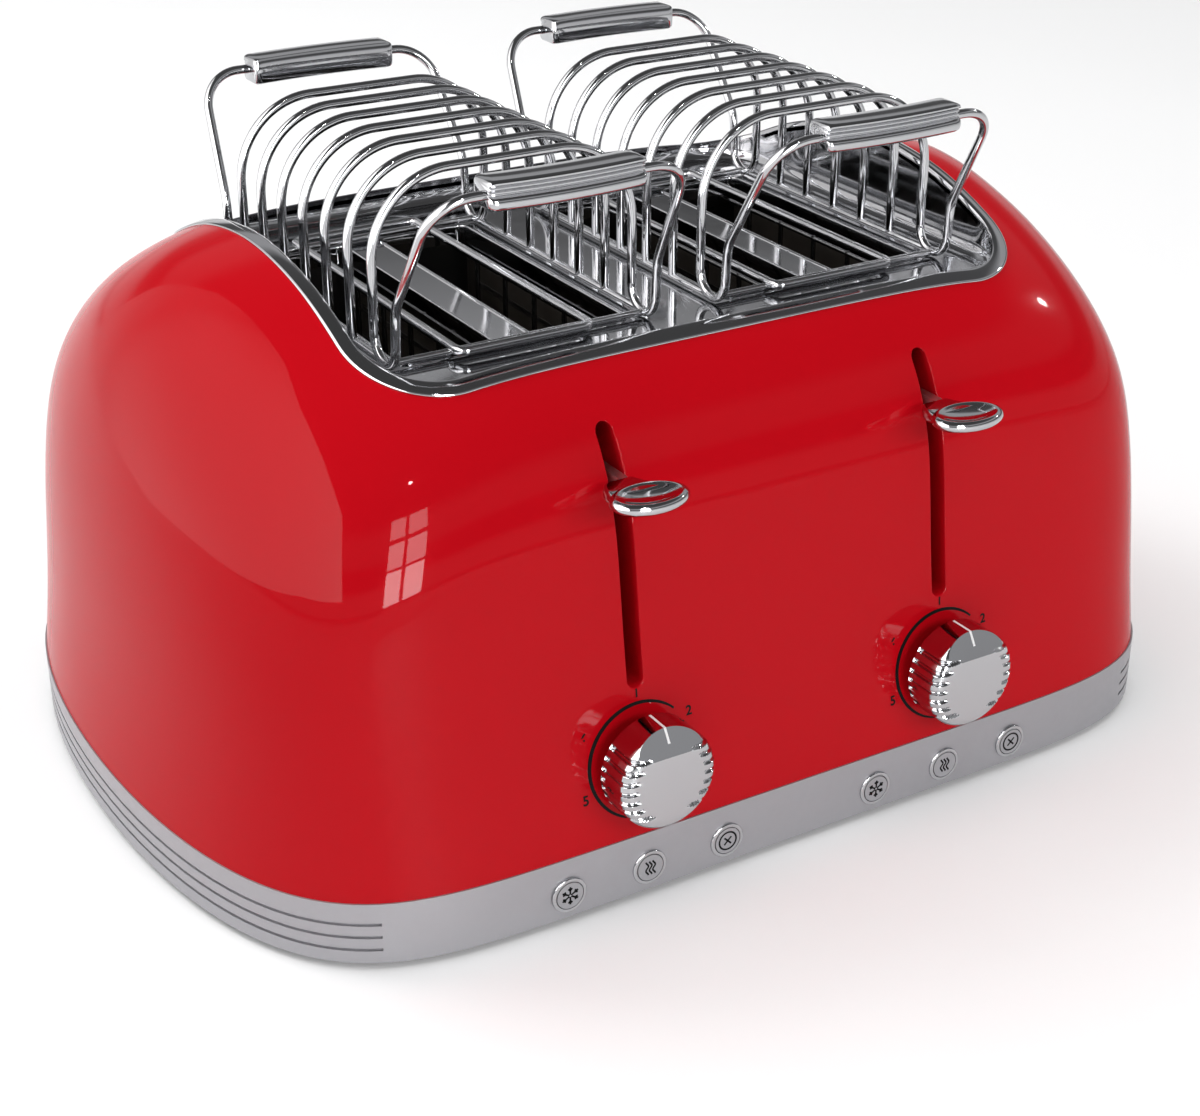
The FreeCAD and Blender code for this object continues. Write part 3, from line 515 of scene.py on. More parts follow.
def make_shell():
    columns, rows = ((360, 110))
    angles = (np.arange(columns) + 0.5) * 2 * math.pi / columns
    low, high = np.zeros(columns), np.full(columns, CHORD[-1])
    for _ in range(HALVINGS):
        t = (low + high) / 2
        x, y, _z = dome_point(angles, t)
        outside = outside_opening(x, y) > 0
        low = np.where(outside, t, low)
        high = np.where(outside, high, t)
    outer, inner = [], []
    for r in range(rows + 1):
        x, y, z = dome_point(angles, low * (r / rows))
        p = np.stack([x, y, z], axis=-1)
        outer.append(p)
        deeper = p - SHELL_THICK * dome_normal(x, y, z)
        deeper[:, 2] = np.maximum(deeper[:, 2], LEVELS[0, 0]) if r else LEVELS[0, 0]
        inner.append(deeper)
    shape = Shape()
    shape.grid([list(map(tuple, row)) for row in outer + inner[::-1]], close_rows=True)
    obj = build("shell", shape.points, shape.faces)
    face_outwards(obj.data)
    for _, xc in SIDES:
        cut_front(obj, stadium(xc, SLOT_HALF + EDGE, SLOT_LOW - EDGE, SLOT_HIGH + EDGE))
        cut_front(obj, [(xc + SHAFT_HOLE_R * math.cos(a), KNOB_Z + SHAFT_HOLE_R * math.sin(a))
                        for a in np.linspace(0, 2 * math.pi, 48, endpoint=False)])
    dome_shading(obj.data)
    return place(obj, MATERIALS["red_enamel"], "root", ("body_shell",))


FACE_REACH = 0.012     # how far from the formula a point of the outside may be
FACE_AGREE = 0.8     # cosine between a face of the outside and the formula's normal


def dome_shading(mesh):
    """Exact surface normals on the outside of the dome, plain face normals elsewhere."""
    count = len(mesh.loops)
    co = np.zeros(len(mesh.vertices) * 3)
    mesh.vertices.foreach_get("co", co)
    co = co.reshape(-1, 3) / MM
    index = np.zeros(count, dtype=int)
    mesh.loops.foreach_get("vertex_index", index)
    sizes = np.zeros(len(mesh.polygons), dtype=int)
    mesh.polygons.foreach_get("loop_total", sizes)
    owner = np.repeat(np.arange(len(sizes)), sizes)
    flat = np.zeros(len(sizes) * 3)
    mesh.polygons.foreach_get("normal", flat)
    flat = flat.reshape(-1, 3)[owner]
    p = co[index]
    exact = dome_normal(p[:, 0], p[:, 1], p[:, 2])
    a, b, n = level_at_z(p[:, 2])
    off = np.abs(np.abs(p[:, 0] / a) ** n + (p[:, 1] / b) ** 2 - 1.0)
    on_face = np.ones(len(sizes), dtype=bool)
    agree = (exact * flat).sum(axis=1)
    np.logical_and.at(on_face, owner, (off < FACE_REACH) & (agree > FACE_AGREE))
    normals = np.where(on_face[owner][:, None], exact, flat)
    mesh.polygons.foreach_set("use_smooth", [True] * len(mesh.polygons))
    mesh.normals_split_custom_set([tuple(v) for v in normals])


# Rings round a lever slot: how much wider than the slot, how far behind the front face.
LINING_RINGS = ((EDGE, 0.0), (0.24, 0.05), (0.1, 0.16), (0.0, 0.38), (0.0, 3.0),
                (0.0, 6.0), (0.0, 9.5), (0.0, 13.5), (1.0, 13.5), (1.0, 1.3))


def make_slot_linings():
    for side, xc in SIDES:
        rows = []
        for grow, depth in LINING_RINGS:
            outline = stadium(xc, SLOT_HALF + grow, SLOT_LOW - grow, SLOT_HIGH + grow)
            rows.append([(x, float(front_y(x, z)) + depth, z) for x, z in outline])
        length = min(len(row) for row in rows)
        rows = [[row[int(round(k * len(row) / length)) % len(row)] for k in range(length)]
                for row in rows]
        shape = Shape()
        shape.grid(rows, close_rows=True)
        shape.finish(side + "_slot_lining", MATERIALS["red_enamel"], "root",
                     degrees=60.0)


# ------------------------------------------------------------------ rim and top panel
def on_dome(px, py, nx, ny, u):
    """Points on the dome, u outwards from the outline of the opening."""
    x, y = px + nx * u, py + ny * u
    return x, y, dome_height(x, y)


RIM_INSIDE = -1.6
# The rim's section: outwards from the opening, out of the dome, and straight up.
RIM_PROFILE = ((3.35, 0.0, 0), (3.42, 0.25, 0), (3.3, 0.55, 0), (3.0, 0.78, 0), (2.5, 0.88, 0),
               (1.0, 0.9, 0), (-0.4, 0.88, 0), (-1.0, 0.72, 0), (-1.4, 0.42, 0),
               (RIM_INSIDE, 0.05, 0), (RIM_INSIDE, 0.0, -1.5), (RIM_INSIDE, 0.0, -3.0),
               (-0.1, 0.0, -3.0), (-0.1, 0.0, -0.05))


def opening_outline():
    return np.array(rounded_outline(OPEN_X, OPEN_Y, OPEN_R, 2.0, 4.0)).T


def make_rim():
    px, py, nx, ny = opening_outline()
    rows = []
    for u, v, dz in RIM_PROFILE:
        x, y, z = on_dome(px, py, nx, ny, u)
        n = dome_normal(x, y, z)
        p = np.stack([x, y, z], axis=-1) + n * v
        p[:, 2] += dz
        rows.append(list(map(tuple, p)))
    shape = Shape()
    shape.grid(rows, close_rows=True)
    shape.finish("rim", MATERIALS["bright_chrome"], "root", ("top_rim",), 50.0)


FLOOR_Z = 163.3     # the panel's floor, which holds the bread slots
COVE, COVE_STEPS = 4.6, 8     # the rounding between the panel's wall and its floor
WALL_DROP = 1.2     # from the rim down to the top of the panel's wall
BREAD_STEP = 24.0     # from the middle of a pair of bread slots to either slot
BREAD_HALF_X, BREAD_HALF_Y, BREAD_CORNER = 16.75, 58.0, 3.0
SLOTS = [xc + step * BREAD_STEP for _, xc in SIDES for step in (-1.0, 1.0)]
# The raised lip round a bread slot: outwards from the hole, and up from the floor.
LIP_PROFILE = ((1.5, 0.0), (1.25, 0.28), (0.95, 0.5), (0.6, 0.62), (0.3, 0.55), (0.1, 0.35),
               (0.0, 0.0), (0.0, -3.0), (0.0, -6.0), (0.8, -6.0), (0.8, -1.0), (1.45, -0.6))


def make_panel():
    shape = Shape()
    px, py, nx, ny = opening_outline()
    rows = []
    x, y, z = on_dome(px, py, nx, ny, RIM_INSIDE)
    top = z - WALL_DROP
    for f in (0.0, 0.5, 1.0):
        rows.append(list(zip(x, y, top + (FLOOR_Z + COVE - top) * f)))
    for k in range(1, COVE_STEPS + 1):
        a = math.radians(90.0 * k / COVE_STEPS)
        u = RIM_INSIDE - COVE * (1 - math.cos(a))
        rows.append(list(zip(px + nx * u, py + ny * u,
                             np.full(len(px), FLOOR_Z + COVE * (1 - math.sin(a))))))
    count = len(px)
    base = shape.grid(rows)
    bm = bmesh.new()
    edges = []

    def loop(points):
        made = [bm.verts.new(p) for p in points]
        for i, v in enumerate(made):
            edges.append(bm.edges.new((v, made[(i + 1) % len(made)])))

    loop([shape.points[base + (len(rows) - 1) * count + k] for k in range(count)])
    lip_out = LIP_PROFILE[0][0]
    hole = rounded_outline(BREAD_HALF_X, BREAD_HALF_Y, BREAD_CORNER, 6.0, 15.0)
    for xc in SLOTS:
        loop([(xc + p[0] + p[2] * lip_out, p[1] + p[3] * lip_out, FLOOR_Z) for p in hole])
    bmesh.ops.triangle_fill(bm, edges=edges, use_beauty=True)
    bm.verts.index_update()
    floor = Shape()
    floor.points = [tuple(v.co) for v in bm.verts]
    floor.faces = [tuple(v.index for v in f.verts) for f in bm.faces]
    bm.free()
    shape.add(floor)
    for xc in SLOTS:
        rows = [[(xc + p[0] + p[2] * u, p[1] + p[3] * u, FLOOR_Z + v) for p in hole]
                for u, v in LIP_PROFILE]
        shape.grid(rows, close_rows=True)
    obj = build("panel", shape.points, shape.faces, 40.0)
    return place(obj, MATERIALS["bright_chrome"], "root", ("top_panel",))


# ------------------------------------------------------------------ lever paddles
LEVER_Y, LEVER_Z = -136.8, 139.6
PADDLE_X, PADDLE_Y, PADDLE_SIDES = 13.1, 8.75, 96     # the oval's half sizes
PADDLE_UNDER, PADDLE_DIP = -2.52, 0.44     # middle of its underside and of its dished top
# The paddle's section: share of the half size, and height.
PADDLE_PROFILE = ((0.35, -2.48), (0.6, -2.3), (0.78, -1.95), (0.9, -1.4), (0.97, -0.7),
                  (1.0, 0.1), (0.995, 0.8), (0.97, 1.45), (0.93, 1.9), (0.88, 2.15),
                  (0.83, 2.2), (0.77, 2.05), (0.67, 1.6), (0.53, 1.05), (0.36, 0.68),
                  (0.18, 0.5))
# The neck from the paddle to the shell: y, reach to the left and right, bottom and top.
NECK_STATIONS = ((-132.4, 10.4, 8.4, -1.9, 1.6), (-131.0, 10.3, 7.0, -2.05, 1.75),
                 (-129.6, 10.2, 5.9, -2.2, 1.85), (-128.2, 10.0, 5.0, -2.3, 1.9),
                 (-126.6, 9.6, 4.2, -2.35, 1.9), (-125.0, 8.9, 3.6, -2.4, 1.85),
                 (-123.4, 7.6, 3.2, -2.35, 1.7), (-122.4, 6.3, 3.0, -2.1, 1.4),
                 (-121.9, 5.2, 2.7, -1.7, 1.1))
NECK_CORNER = 1.3


def make_levers():
    count = PADDLE_SIDES
    for side, xc in SIDES:
        shape = Shape()
        rows = []
        for r, z in PADDLE_PROFILE:
            row = []
            for k in range(count):
                a = 2 * math.pi * k / count
                row.append((xc + PADDLE_X * r * math.cos(a), LEVER_Y + PADDLE_Y * r * math.sin(a),
                            LEVER_Z + z))
            rows.append(row)
        base = shape.grid(rows)
        for index, z in ((0, PADDLE_UNDER), (len(rows) - 1, PADDLE_DIP)):
            centre = len(shape.points)
            shape.points.append((xc, LEVER_Y, LEVER_Z + z))
            first = base + index * count
            for k in range(count):
                shape.faces.append((first + k, first + (k + 1) % count, centre))
        neck = []
        for y, left, right, low, high in NECK_STATIONS:
            ring = rounded_outline((left + right) / 2, (high - low) / 2, NECK_CORNER, 30.0, 15.0)
            neck.append([(xc + (right - left) / 2 + q[0], y, LEVER_Z + (high + low) / 2 + q[1])
                         for q in ring])
        shape.tube(neck)
        shape.finish(side + "_lever", MATERIALS["bright_chrome"], side + "_lever",
                     (side + "_lever_knob",), 50.0)


# ------------------------------------------------------------------ browning knobs
KNOB_R, KNOB_BACK, KNOB_FRONT = 17.3, -137.3, -151.8
KNOB_ROUND, KNOB_CHAMFER = 4.2, 0.6
RIB_PITCH, RIB_COUNT, GROOVE_HALF, GROOVE_DEPTH = 3.4, 3, 0.8, 1.0
GROOVE_START = KNOB_BACK - 0.8
GROOVE_END, GROOVE_FADE = 11.6, 1.6     # radii over which the grooves run out on the face
FACET_LOW, FACET_BACK = 9.4, 4.9     # the slanted facet on top, which carries the pointer


def groove(radius, angle):
    """Depth of the level grooves across both flanks; they fade out towards the face."""
    height = radius * math.sin(angle)
    nearest = max(-RIB_COUNT, min(RIB_COUNT, round(height / RIB_PITCH))) * RIB_PITCH
    off = abs(height - nearest)
    if off >= GROOVE_HALF:
        return 0.0
    fade = min(1.0, max(0.0, (radius - GROOVE_END) / GROOVE_FADE))
    return GROOVE_DEPTH * fade * math.cos(math.pi / 2 * off / GROOVE_HALF)


def sharpen_flat(mesh, point, normal):
    """Shades the faces that lie in one plane flat, with sharp edges round them."""
    bm = bmesh.new()
    bm.from_mesh(mesh)
    for face in bm.faces:
        if face.normal.dot(normal) > 0.9999:
            if abs((face.calc_center_median() - point).dot(normal)) < 1e-6:
                face.smooth = False
                for edge in face.edges:
                    edge.smooth = False
    bm.to_mesh(mesh)
    bm.free()


def make_knobs():
    count = 720
    # Each ring: y, radius, then the part of the normal that points outwards and forwards.
    rings = [(KNOB_BACK, KNOB_R - KNOB_CHAMFER, 1.0, 0.0),
             (KNOB_BACK - KNOB_CHAMFER, KNOB_R, 1.0, 0.0)]
    for step in range(4):
        y = GROOVE_START - (GROOVE_START - KNOB_FRONT - KNOB_ROUND) * step / 3
        rings.append((y, KNOB_R, 1.0, 0.0))
    for step in range(1, 10):
        a = math.radians(10.0 * step)
        rings.append((KNOB_FRONT + KNOB_ROUND * (1 - math.sin(a)),
                      KNOB_R - KNOB_ROUND * (1 - math.cos(a)), math.cos(a), math.sin(a)))
    rings += [(KNOB_FRONT, radius, 0.0, 1.0) for radius in (12.6, 12.1, GROOVE_END, 11.0)]
    for side, xc in SIDES:
        shape = Shape()
        rows = []
        for number, (y, radius, out, ahead) in enumerate(rings):
            row = []
            for k in range(count):
                a = 2 * math.pi * (k + 0.5) / count
                depth = groove(radius, a) if number > 1 else 0.0
                r = radius - depth * out
                row.append((xc + r * math.cos(a), y + depth * ahead, KNOB_Z + r * math.sin(a)))
            rows.append(row)
        shape.tube(rows)
        obj = build(side + "_knob", shape.points, shape.faces)
        bm = bmesh.new()
        bm.from_mesh(obj.data)
        bmesh.ops.recalc_face_normals(bm, faces=bm.faces)
        low = Vector((xc, KNOB_FRONT, KNOB_Z + FACET_LOW)) * MM
        slope = Vector((0, -(KNOB_R - FACET_LOW), FACET_BACK)).normalized()
        everything = bm.verts[:] + bm.edges[:] + bm.faces[:]
        cut = bmesh.ops.bisect_plane(bm, geom=everything, plane_co=low, plane_no=slope,
                                     clear_outer=True)
        rim = [e for e in cut["geom_cut"] if isinstance(e, bmesh.types.BMEdge)]
        bmesh.ops.contextual_create(bm, geom=rim)
        bm.to_mesh(obj.data)
        bm.free()
        smooth_by_angle(obj.data, 38.0)
        sharpen_flat(obj.data, low, slope)
        place(obj, MATERIALS["bright_chrome"], side + "_knob",
              (side + "_browning_knob",))
        make_pointer(side, xc)


POINTER_HALF, POINTER_SUNK, POINTER_PROUD = 0.4, -0.3, 0.07
POINTER_REACH = 0.55     # how far down the facet the line goes


def make_pointer(side, xc):
    """White line along the top of a knob and part of the way down its facet."""
    rise = KNOB_R - FACET_LOW
    facet_top = KNOB_FRONT + FACET_BACK
    line = ((KNOB_BACK - 1.0, KNOB_R, 0, 1), (facet_top + 0.6, KNOB_R, 0, 1),
            (facet_top, KNOB_R, -0.6, 0.8),
            (facet_top - FACET_BACK * POINTER_REACH, KNOB_R - rise * POINTER_REACH,
             -rise, FACET_BACK))
    section = ((-POINTER_HALF, POINTER_SUNK), (-POINTER_HALF, POINTER_PROUD),
               (POINTER_HALF, POINTER_PROUD), (POINTER_HALF, POINTER_SUNK))
    pointer = Shape()
    rows = []
    for y, z, ny, nz in line:
        size = math.hypot(ny, nz)
        ny, nz = ny / size, nz / size
        rows.append([(xc + x, y + ny * lift, KNOB_Z + z + nz * lift)
                     for x, lift in section])
    pointer.tube(rows)
    pointer.finish(side + "_pointer", PAINT, side + "_knob")


# ------------------------------------------------------------------ printed scale and icons
PRINT_SUNK = -0.02     # how far printed strokes reach into what they are printed on


def ribbon(points, widths, place_point, thick):
    """A flat stroke along 2-D points; place_point maps (u, v, height) to the model."""
    shape = Shape()
    rows = []
    for i, (u, v) in enumerate(points):
        u0, v0 = points[max(i - 1, 0)]
        u1, v1 = points[min(i + 1, len(points) - 1)]
        size = math.hypot(u1 - u0, v1 - v0)
        nu, nv = -(v1 - v0) / size, (u1 - u0) / size
        h = widths[i] / 2
        rows.append([place_point(u + nu * h, v + nv * h, PRINT_SUNK),
                     place_point(u + nu * h, v + nv * h, thick),
                     place_point(u - nu * h, v - nv * h, thick),
                     place_point(u - nu * h, v - nv * h, PRINT_SUNK)])
    shape.tube(rows)
    return shape


SCALE_RADIUS, SCALE_DROP = 18.9, 0.9
SCALE_START, SCALE_END, SCALE_STEPS = 46.0, 262.0, 120
SCALE_THICK, DIGIT_WEIGHT = 0.05, 0.13
# The numbers: figure, direction in degrees, distance from the shaft, height of the figure.
DIGITS = ((1, 90.0, 21.2, 3.9), (2, 28.8, 21.2, 4.6), (3, -31.0, 21.8, 4.6), (4, -90.0, 21.8, 4.6),
          (5, -157.0, 22.9, 4.6), (6, 150.0, 22.9, 4.6))


def make_scales():
    for side, xc in SIDES:
        def on_shell(u, v, height):
            return xc + u, float(front_y(xc + u, KNOB_Z + v)) - height, KNOB_Z + v

        points, widths = [], []
        for k in range(SCALE_STEPS + 1):
            f = k / SCALE_STEPS
            a = math.radians(SCALE_START + (SCALE_END - SCALE_START) * f)
            points.append((SCALE_RADIUS * math.cos(a), SCALE_RADIUS * math.sin(a) - SCALE_DROP))
            widths.append(0.65 + 0.75 * math.sin(math.pi * min(1.0, f * 1.05)) ** 0.8)
        shape = ribbon(points, widths, on_shell, SCALE_THICK)
        for number, degrees, radius, height in DIGITS:
            curve = bpy.data.curves.new("digit", "FONT")
            curve.body = str(number)
            curve.align_x, curve.align_y = "CENTER", "CENTER"
            curve.size = height
            curve.offset = DIGIT_WEIGHT
            text = bpy.data.objects.new("digit", curve)
            bpy.context.scene.collection.objects.link(text)
            glyph = evaluated_mesh(text)
            a = math.radians(degrees)
            cu, cv = radius * math.cos(a), radius * math.sin(a)
            digit = Shape()
            digit.points = [on_shell(cu + v.co.x, cv + v.co.y, SCALE_THICK)
                            for v in glyph.vertices]
            digit.faces = [tuple(q.vertices) for q in glyph.polygons]
            shape.add(digit)
            bpy.data.objects.remove(text)
        obj = build(side + "_scale", shape.points, shape.faces)
        place(obj, MARK, "root")


BUTTON_Z, BUTTON_FRONT, BUTTON_PITCH = 11.1, -139.9, 29.7
ICON_SCALE, ICON_STROKE, ICON_THICK = 1.12, 0.64, 0.04


def icon_strokes(kind):
    """A snowflake, three rising waves, or a cross in a ring, as centre lines."""
    strokes = []
    if kind == "defrost":
        for k in range(6):
            a = math.radians(60 * k + 90)
            c, s = math.cos(a), math.sin(a)
            strokes.append([(0.35 * c, 0.35 * s), (2.9 * c, 2.9 * s)])
            for turn in (-0.75, 0.75):
                c2, s2 = math.cos(a + turn), math.sin(a + turn)
                strokes.append([(1.7 * c, 1.7 * s), (1.7 * c + 0.95 * c2, 1.7 * s + 0.95 * s2)])
    elif kind == "reheat":
        for offset in (-1.15, 0.0, 1.15):
            line = []
            for k in range(17):
                v = -2.3 + 4.6 * k / 16
                line.append((offset + 0.42 * math.sin(v * 2.1), v))
            strokes.append(line)
    else:
        ring = [(2.9 * math.cos(a), 2.9 * math.sin(a))
                for a in np.linspace(0, 2 * math.pi, 49)]
        strokes.append(ring)
        strokes.append([(-1.2, -1.2), (1.2, 1.2)])
        strokes.append([(-1.2, 1.2), (1.2, -1.2)])
    return strokes


def make_icons():
    for side, xc in SIDES:
        for kind, step in (("defrost", -1), ("reheat", 0), ("cancel", 1)):
            x0 = xc + step * BUTTON_PITCH

            def on_button(u, v, height):
                return x0 + u, BUTTON_FRONT - height, BUTTON_Z + v

            shape = Shape()
            for stroke in icon_strokes(kind):
                stroke = [(u * ICON_SCALE, v * ICON_SCALE) for u, v in stroke]
                shape.add(ribbon(stroke, [ICON_STROKE] * len(stroke), on_button,
                                 ICON_THICK))
            shape.finish(side + "_" + kind + "_icon", MARK, side + "_" + kind)


# ------------------------------------------------------------------ bun racks
RACK_X, RACK_BASE, ARCH_TOP, PITCH = 46.5, 165.2, 221.6, 17.0
WIRE_R, U_HALF = 1.55, 7.5
END_Y, HANDLE_Y, TIE_Y = 51.0, 66.0, 59.0
GRIP_Y, GRIP_Z, GRIP_HALF = 88.4, 223.2, 26.7
ARCH_BEND, HANDLE_BEND = 27.0, 14.0
RAIL_R, TIE_R, TIE_HALF = WIRE_R - 0.25, WIRE_R - 0.35, 46.3
LOOP_X, LOOP_Y, LOOP_CORNER, LOOP_LIFT = 24.0, 64.0, 4.0, 1.2


def make_racks():
    for side, xc in SIDES:
        body = side + "_rack"
        for group, members in (("front", (-3, -2)), ("middle", (-1, 0, 1)), ("back", (2, 3))):
            shape = Shape()
            for member in members:
                y = member * PITCH
                foot = RACK_BASE + (U_HALF if abs(member) == 3 else 0.6)
                path = bend_points([(-RACK_X, y, foot), (-RACK_X, y, ARCH_TOP),
                                    (RACK_X, y, ARCH_TOP), (RACK_X, y, foot)], ARCH_BEND, 4.0)
                shape.add(wire(path, WIRE_R), shift(xc))
            shape.finish(side + "_arches_" + group, MATERIALS["chrome_wire"], body,
                         (side + "_rack_arches_" + group,))
        leg = wire(
            bend_points([(RACK_X, -END_Y, RACK_BASE + U_HALF + 0.2),
                         (RACK_X, -END_Y, RACK_BASE), (RACK_X, -HANDLE_Y, RACK_BASE),
                         (RACK_X, -HANDLE_Y, RACK_BASE + U_HALF + 0.2)], U_HALF - 0.01, 7.0)
            + bend_points([(RACK_X, -HANDLE_Y, RACK_BASE + U_HALF + 0.8),
                           (RACK_X, -HANDLE_Y - 0.8, RACK_BASE + 20.0),
                           (RACK_X - 3.0, -GRIP_Y, GRIP_Z),
                           (GRIP_HALF - 4.0, -GRIP_Y, GRIP_Z)], HANDLE_BEND, 5.0), WIRE_R)
        legs = Shape()
        for matrix in (Matrix.Identity(4), FLIP_X, FLIP_Y, FLIP_X @ FLIP_Y):
            legs.add(leg, shift(xc) @ matrix)
        legs.finish(side + "_handle_legs", MATERIALS["chrome_wire"], body,
                    (side + "_rack_handle_legs",))
        base = Shape()
        for sx in (-1, 1):
            rail = [Vector((sx * RACK_X, y, RACK_BASE)) for y in (-TIE_Y, 0.0, TIE_Y)]
            base.add(wire(rail, RAIL_R), shift(xc))
        for y in (-TIE_Y, TIE_Y):
            tie = [Vector((x, y, RACK_BASE)) for x in (-TIE_HALF, 0.0, TIE_HALF)]
            base.add(wire(tie, TIE_R), shift(xc))
        loop = [Vector((p[0], p[1], RACK_BASE + LOOP_LIFT))
                for p in rounded_outline(LOOP_X, LOOP_Y, LOOP_CORNER, 6.0, 10.0)]
        base.add(wire(loop, WIRE_R, closed=True), shift(xc))
        base.finish(side + "_base_frame", MATERIALS["chrome_wire"], body,
                    (side + "_rack_base_frame",))
        make_grips(side, xc)


GRIP_SECTION = [
    (5.4, 4.35), (4.4, 4.65), (0.0, 4.7), (-3.6, 4.65), (-4.9, 4.4), (-5.4, 3.95), (-5.35, 3.5),
    (-4.6, 3.3), (-4.1, 2.95), (-4.2, 2.7), (-4.75, 2.35), (-4.75, 2.0), (-4.15, 1.65),
    (-4.1, 1.45), (-4.75, 1.1), (-4.75, 0.75), (-4.15, 0.4), (-4.1, 0.1), (-4.7, -0.25),
    (-5.35, -0.55), (-5.8, -1.1), (-6.0, -2.0), (-5.95, -3.0), (-5.55, -3.9), (-4.8, -4.45),
    (-3.8, -4.7), (0.0, -4.7), (4.2, -4.65), (5.3, -4.1), (5.9, -3.0), (6.0, 0.0), (5.9, 3.2),
]
GRIP_BOW = 1.8     # how far the middle of a grip stands out


def make_grips(side, xc):
    grip = Shape()
    rows = []
    # Along half a grip: x, and how full its section is, less towards the end.
    stations = [(-GRIP_HALF, 0.80), (-26.45, 0.88), (-26.0, 0.94), (-25.2, 0.985), (-24.0, 1.0)]
    stations += [(x, 1.0) for x in (-20.0, -16.0, -12.0, -8.0, -4.0, 0.0)]
    stations += [(-x, size) for x, size in stations[-2::-1]]
    for x, size in stations:
        bow = GRIP_BOW * (x / GRIP_HALF) ** 2
        rows.append([(x, bow - GRIP_Y + y * size, GRIP_Z + z * size) for y, z in GRIP_SECTION])
    grip.tube(rows)
    both = Shape()
    both.add(grip, shift(xc))
    both.add(grip, shift(xc) @ FLIP_Y)
    both.finish(side + "_grips", MATERIALS["bright_chrome"], side + "_rack",
                (side + "_rack_grips",), 32.0)


# ------------------------------------------------------------------ build everything
make_shell()
make_slot_linings()
make_rim()
make_panel()
make_levers()
make_knobs()
make_scales()
make_icons()
make_racks()

for item in frame["record"]["subparts"]:
    node = frame["nodes"][item["node"]]
    node.data.materials.clear()
    node.data.materials.append(MATERIALS[item["material_slot"]])

# ------------------------------------------------------------------ floor, light and camera
FLOOR_HALF = 6000.0
floor_shape = Shape()
steps = np.linspace(-FLOOR_HALF, FLOOR_HALF, 13)
floor_shape.grid([[(x, y, 0.0) for x in steps] for y in steps], wrap=False)
floor = build("floor", floor_shape.points, floor_shape.faces)
floor_material, floor_tree, floor_shader = new_material("pale_floor")
set_inputs(floor_shader, {"Base Color": (0.84, 0.84, 0.84, 1.0), "Specular IOR Level": 0.2,
                          "Emission Color": (1.0, 1.0, 1.0, 1.0), "Emission Strength": 0.09})
rough_noise(floor_tree, floor_shader, 3.0, 0.55, 0.65)
floor.data.materials.append(floor_material)
floor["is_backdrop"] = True


def soft_light(name, size, size_y, radiance, direction, distance, target=(0, 0, 0.1),
               sheen_only=False, mirrored=True):
    """A rectangular area light facing the target, with a brightness given as radiance."""
    data = bpy.data.lights.new(name, "AREA")
    data.shape = "RECTANGLE"
    data.size, data.size_y = size, size_y
    data.energy = radiance * math.pi * size * size_y
    light = bpy.data.objects.new(name, data)
    bpy.context.scene.collection.objects.link(light)
    aim = Vector(direction).normalized()
    light.location = Vector(target) + aim * distance
    light.rotation_euler = (-aim).to_track_quat("-Z", "Y").to_euler()
    light.visible_camera = False
    light.visible_diffuse = not sheen_only
    light.visible_glossy = mirrored


CARD_X = -500.0
CARD_FRONT, CARD_BACK = -0.5, 0.7     # between these y, in metres, the card's glow fades
CARD_NEAR, CARD_FAR = 4.6, 0.5     # from this strength to this one


def bounce_wall():
    """A bright card beside the left end, with its top cut at a slope."""
    outline = [(-0.53, 0.17), (-0.47, 0.42), (-0.42, 0.62), (-0.26, 0.76), (0.06, 1.08),
               (0.42, 1.6), (1.7, 1.9), (1.7, 0.001), (0.6, 0.001), (0.35, 0.025), (0.16, 0.07),
               (-0.04, 0.11), (-0.21, 0.145)]
    card = build("bounce_card", [(CARD_X, y / MM, z / MM) for y, z in outline],
                 [tuple(range(len(outline)))])
    material, tree, shader = new_material("card_glow")
    nodes, links = tree.nodes, tree.links
    coords = nodes.new("ShaderNodeTexCoord")
    split = nodes.new("ShaderNodeSeparateXYZ")
    fade = nodes.new("ShaderNodeMapRange")
    set_inputs(fade, {"From Min": CARD_FRONT, "From Max": CARD_BACK,
                      "To Min": CARD_NEAR, "To Max": CARD_FAR})
    links.new(coords.outputs["Object"], split.inputs["Vector"])
    links.new(split.outputs["Y"], fade.inputs["Value"])
    links.new(fade.outputs["Result"], shader.inputs["Emission Strength"])
    set_inputs(shader, {"Emission Color": (1.0, 0.98, 0.97, 1.0),
                        "Base Color": (0.5, 0.5, 0.5, 1.0)})
    card.data.materials.append(material)
    card.visible_camera = False
    card.visible_diffuse = False
    card.visible_shadow = False
    card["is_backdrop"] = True


bounce_wall()
soft_light("ceiling", 4.8, 4.8, 1.55, (-0.10, 0.15, 0.98), 3.0, mirrored=False)
soft_light("key", 0.9, 0.9, 7.0, (-0.45, 0.55, 0.70), 2.4, mirrored=False)
soft_light("front", 1.8, 0.7, 5.6, (0.15, -0.90, 0.42), 2.6, mirrored=False)
soft_light("left", 1.2, 0.9, 1.8, (-0.95, -0.10, 0.40), 2.4, mirrored=False)
for column, bearing in enumerate((-105.5, -97.0)):
    for row, (height, glow) in enumerate(((0.20, 26.0), (0.42, 15.0), (0.66, 11.0))):
        a = math.radians(bearing)
        soft_light("window_%d_%d" % (column, row), 0.11, 0.20, glow,
                   (math.cos(a), math.sin(a), 0.0), 0.9, (0.0, 0.0, height), sheen_only=True)
soft_light("spark", 0.10, 0.10, 130.0, (0.878, -0.012, 0.479), 2.4, (0.121, -0.101, 0.157),
           sheen_only=True)
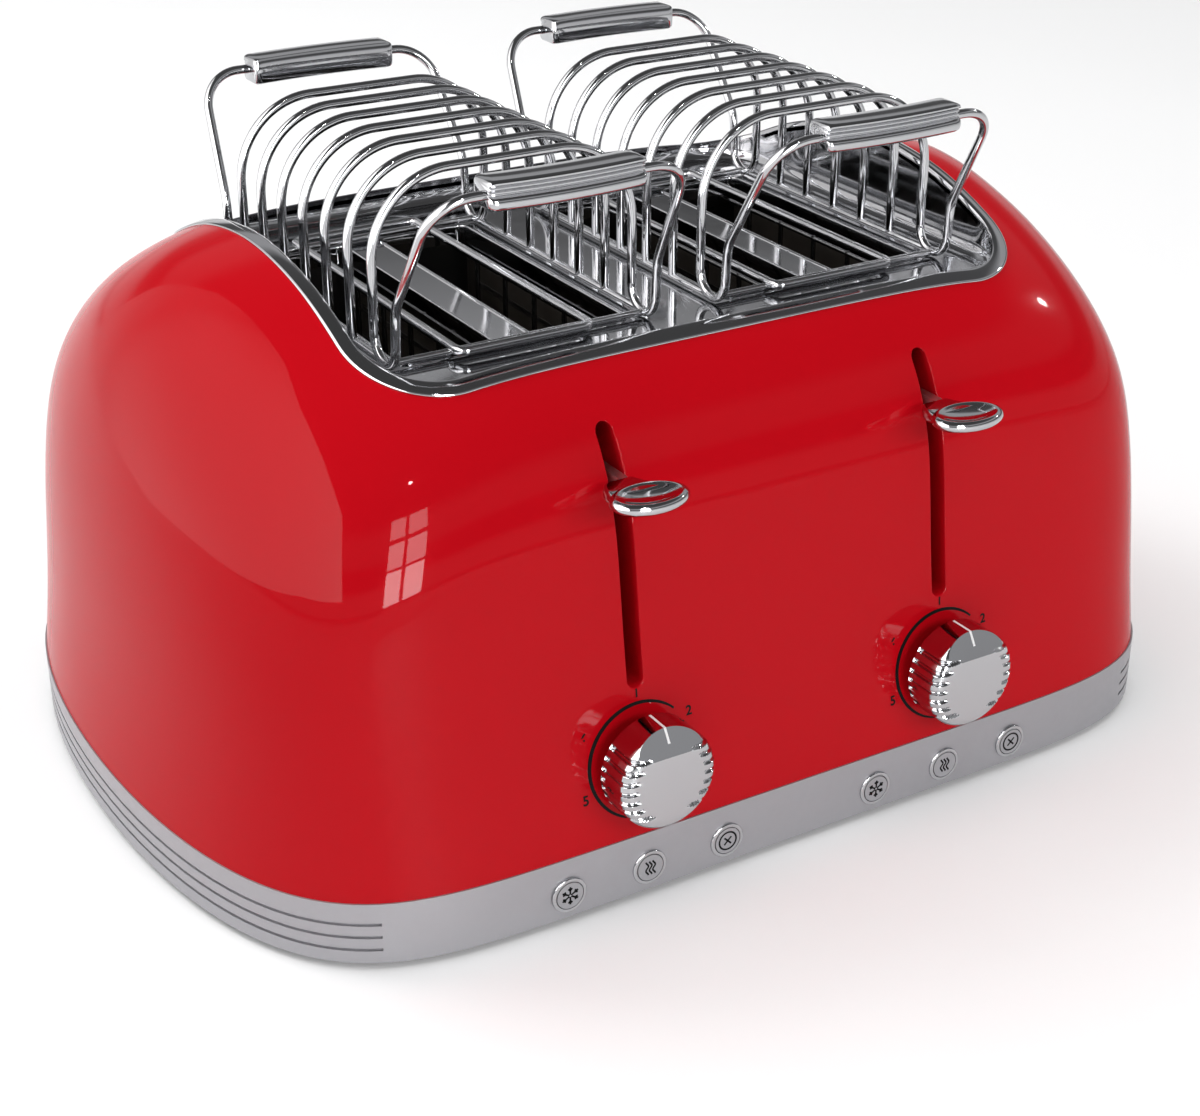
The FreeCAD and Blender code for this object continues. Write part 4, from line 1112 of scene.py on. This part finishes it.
soft_light("spark_left", 0.06, 0.06, 130.0, (-0.02, -0.58, 0.81), 2.4, (-0.123, -0.108, 0.149),
           sheen_only=True)

world = bpy.data.worlds.new("studio")
bpy.context.scene.world = world
world.use_nodes = True
nodes, links = world.node_tree.nodes, world.node_tree.links
background = nodes["Background"]
coords = nodes.new("ShaderNodeTexCoord")
split = nodes.new("ShaderNodeSeparateXYZ")
ramp = nodes.new("ShaderNodeValToRGB")
# Bright at the horizon and in one band higher up, dark between them and overhead.
lowest, highest = ramp.color_ramp.elements
lowest.position, lowest.color = 0.0, (1.0, 1.0, 1.0, 1)
highest.position, highest.color = 0.9, (0.10, 0.10, 0.10, 1)
for position, shade in ((0.10, 0.9), (0.16, 0.14), (0.30, 0.12), (0.36, 0.55), (0.54, 0.62),
                        (0.64, 0.14)):
    element = ramp.color_ramp.elements.new(position)
    element.color = (shade, shade, shade * 1.02, 1)
links.new(coords.outputs["Generated"], split.inputs["Vector"])
links.new(split.outputs["Z"], ramp.inputs["Fac"])
links.new(ramp.outputs["Color"], background.inputs["Color"])
background.inputs["Strength"].default_value = 0.8

camera_data = bpy.data.cameras.new("camera")
camera_data.sensor_width = 36.0
camera_data.sensor_fit = "HORIZONTAL"
camera_data.lens = 63.72
camera_data.clip_start = 0.05
camera_data.clip_end = 50.0
camera = bpy.data.objects.new("camera", camera_data)
bpy.context.scene.collection.objects.link(camera)
turn, tilt = math.radians(30.95), math.radians(26.51)
camera.location = (-0.3636, -0.6147, 0.4027)
camera.rotation_euler = (math.pi / 2 - tilt, 0.0, -turn)
bpy.context.scene.camera = camera
bpy.context.scene.view_settings.view_transform = "Standard"


def plain(bounds):
    """Turns a box of vectors into plain lists of numbers."""
    if isinstance(bounds, dict):
        return {key: plain(value) for key, value in bounds.items()}
    if isinstance(bounds, (list, tuple, Vector)):
        return [plain(value) for value in bounds]
    return float(bounds) if isinstance(bounds, (int, float)) else bounds


{"cad": plain(cad_bounds), "looks": plain(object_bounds())}
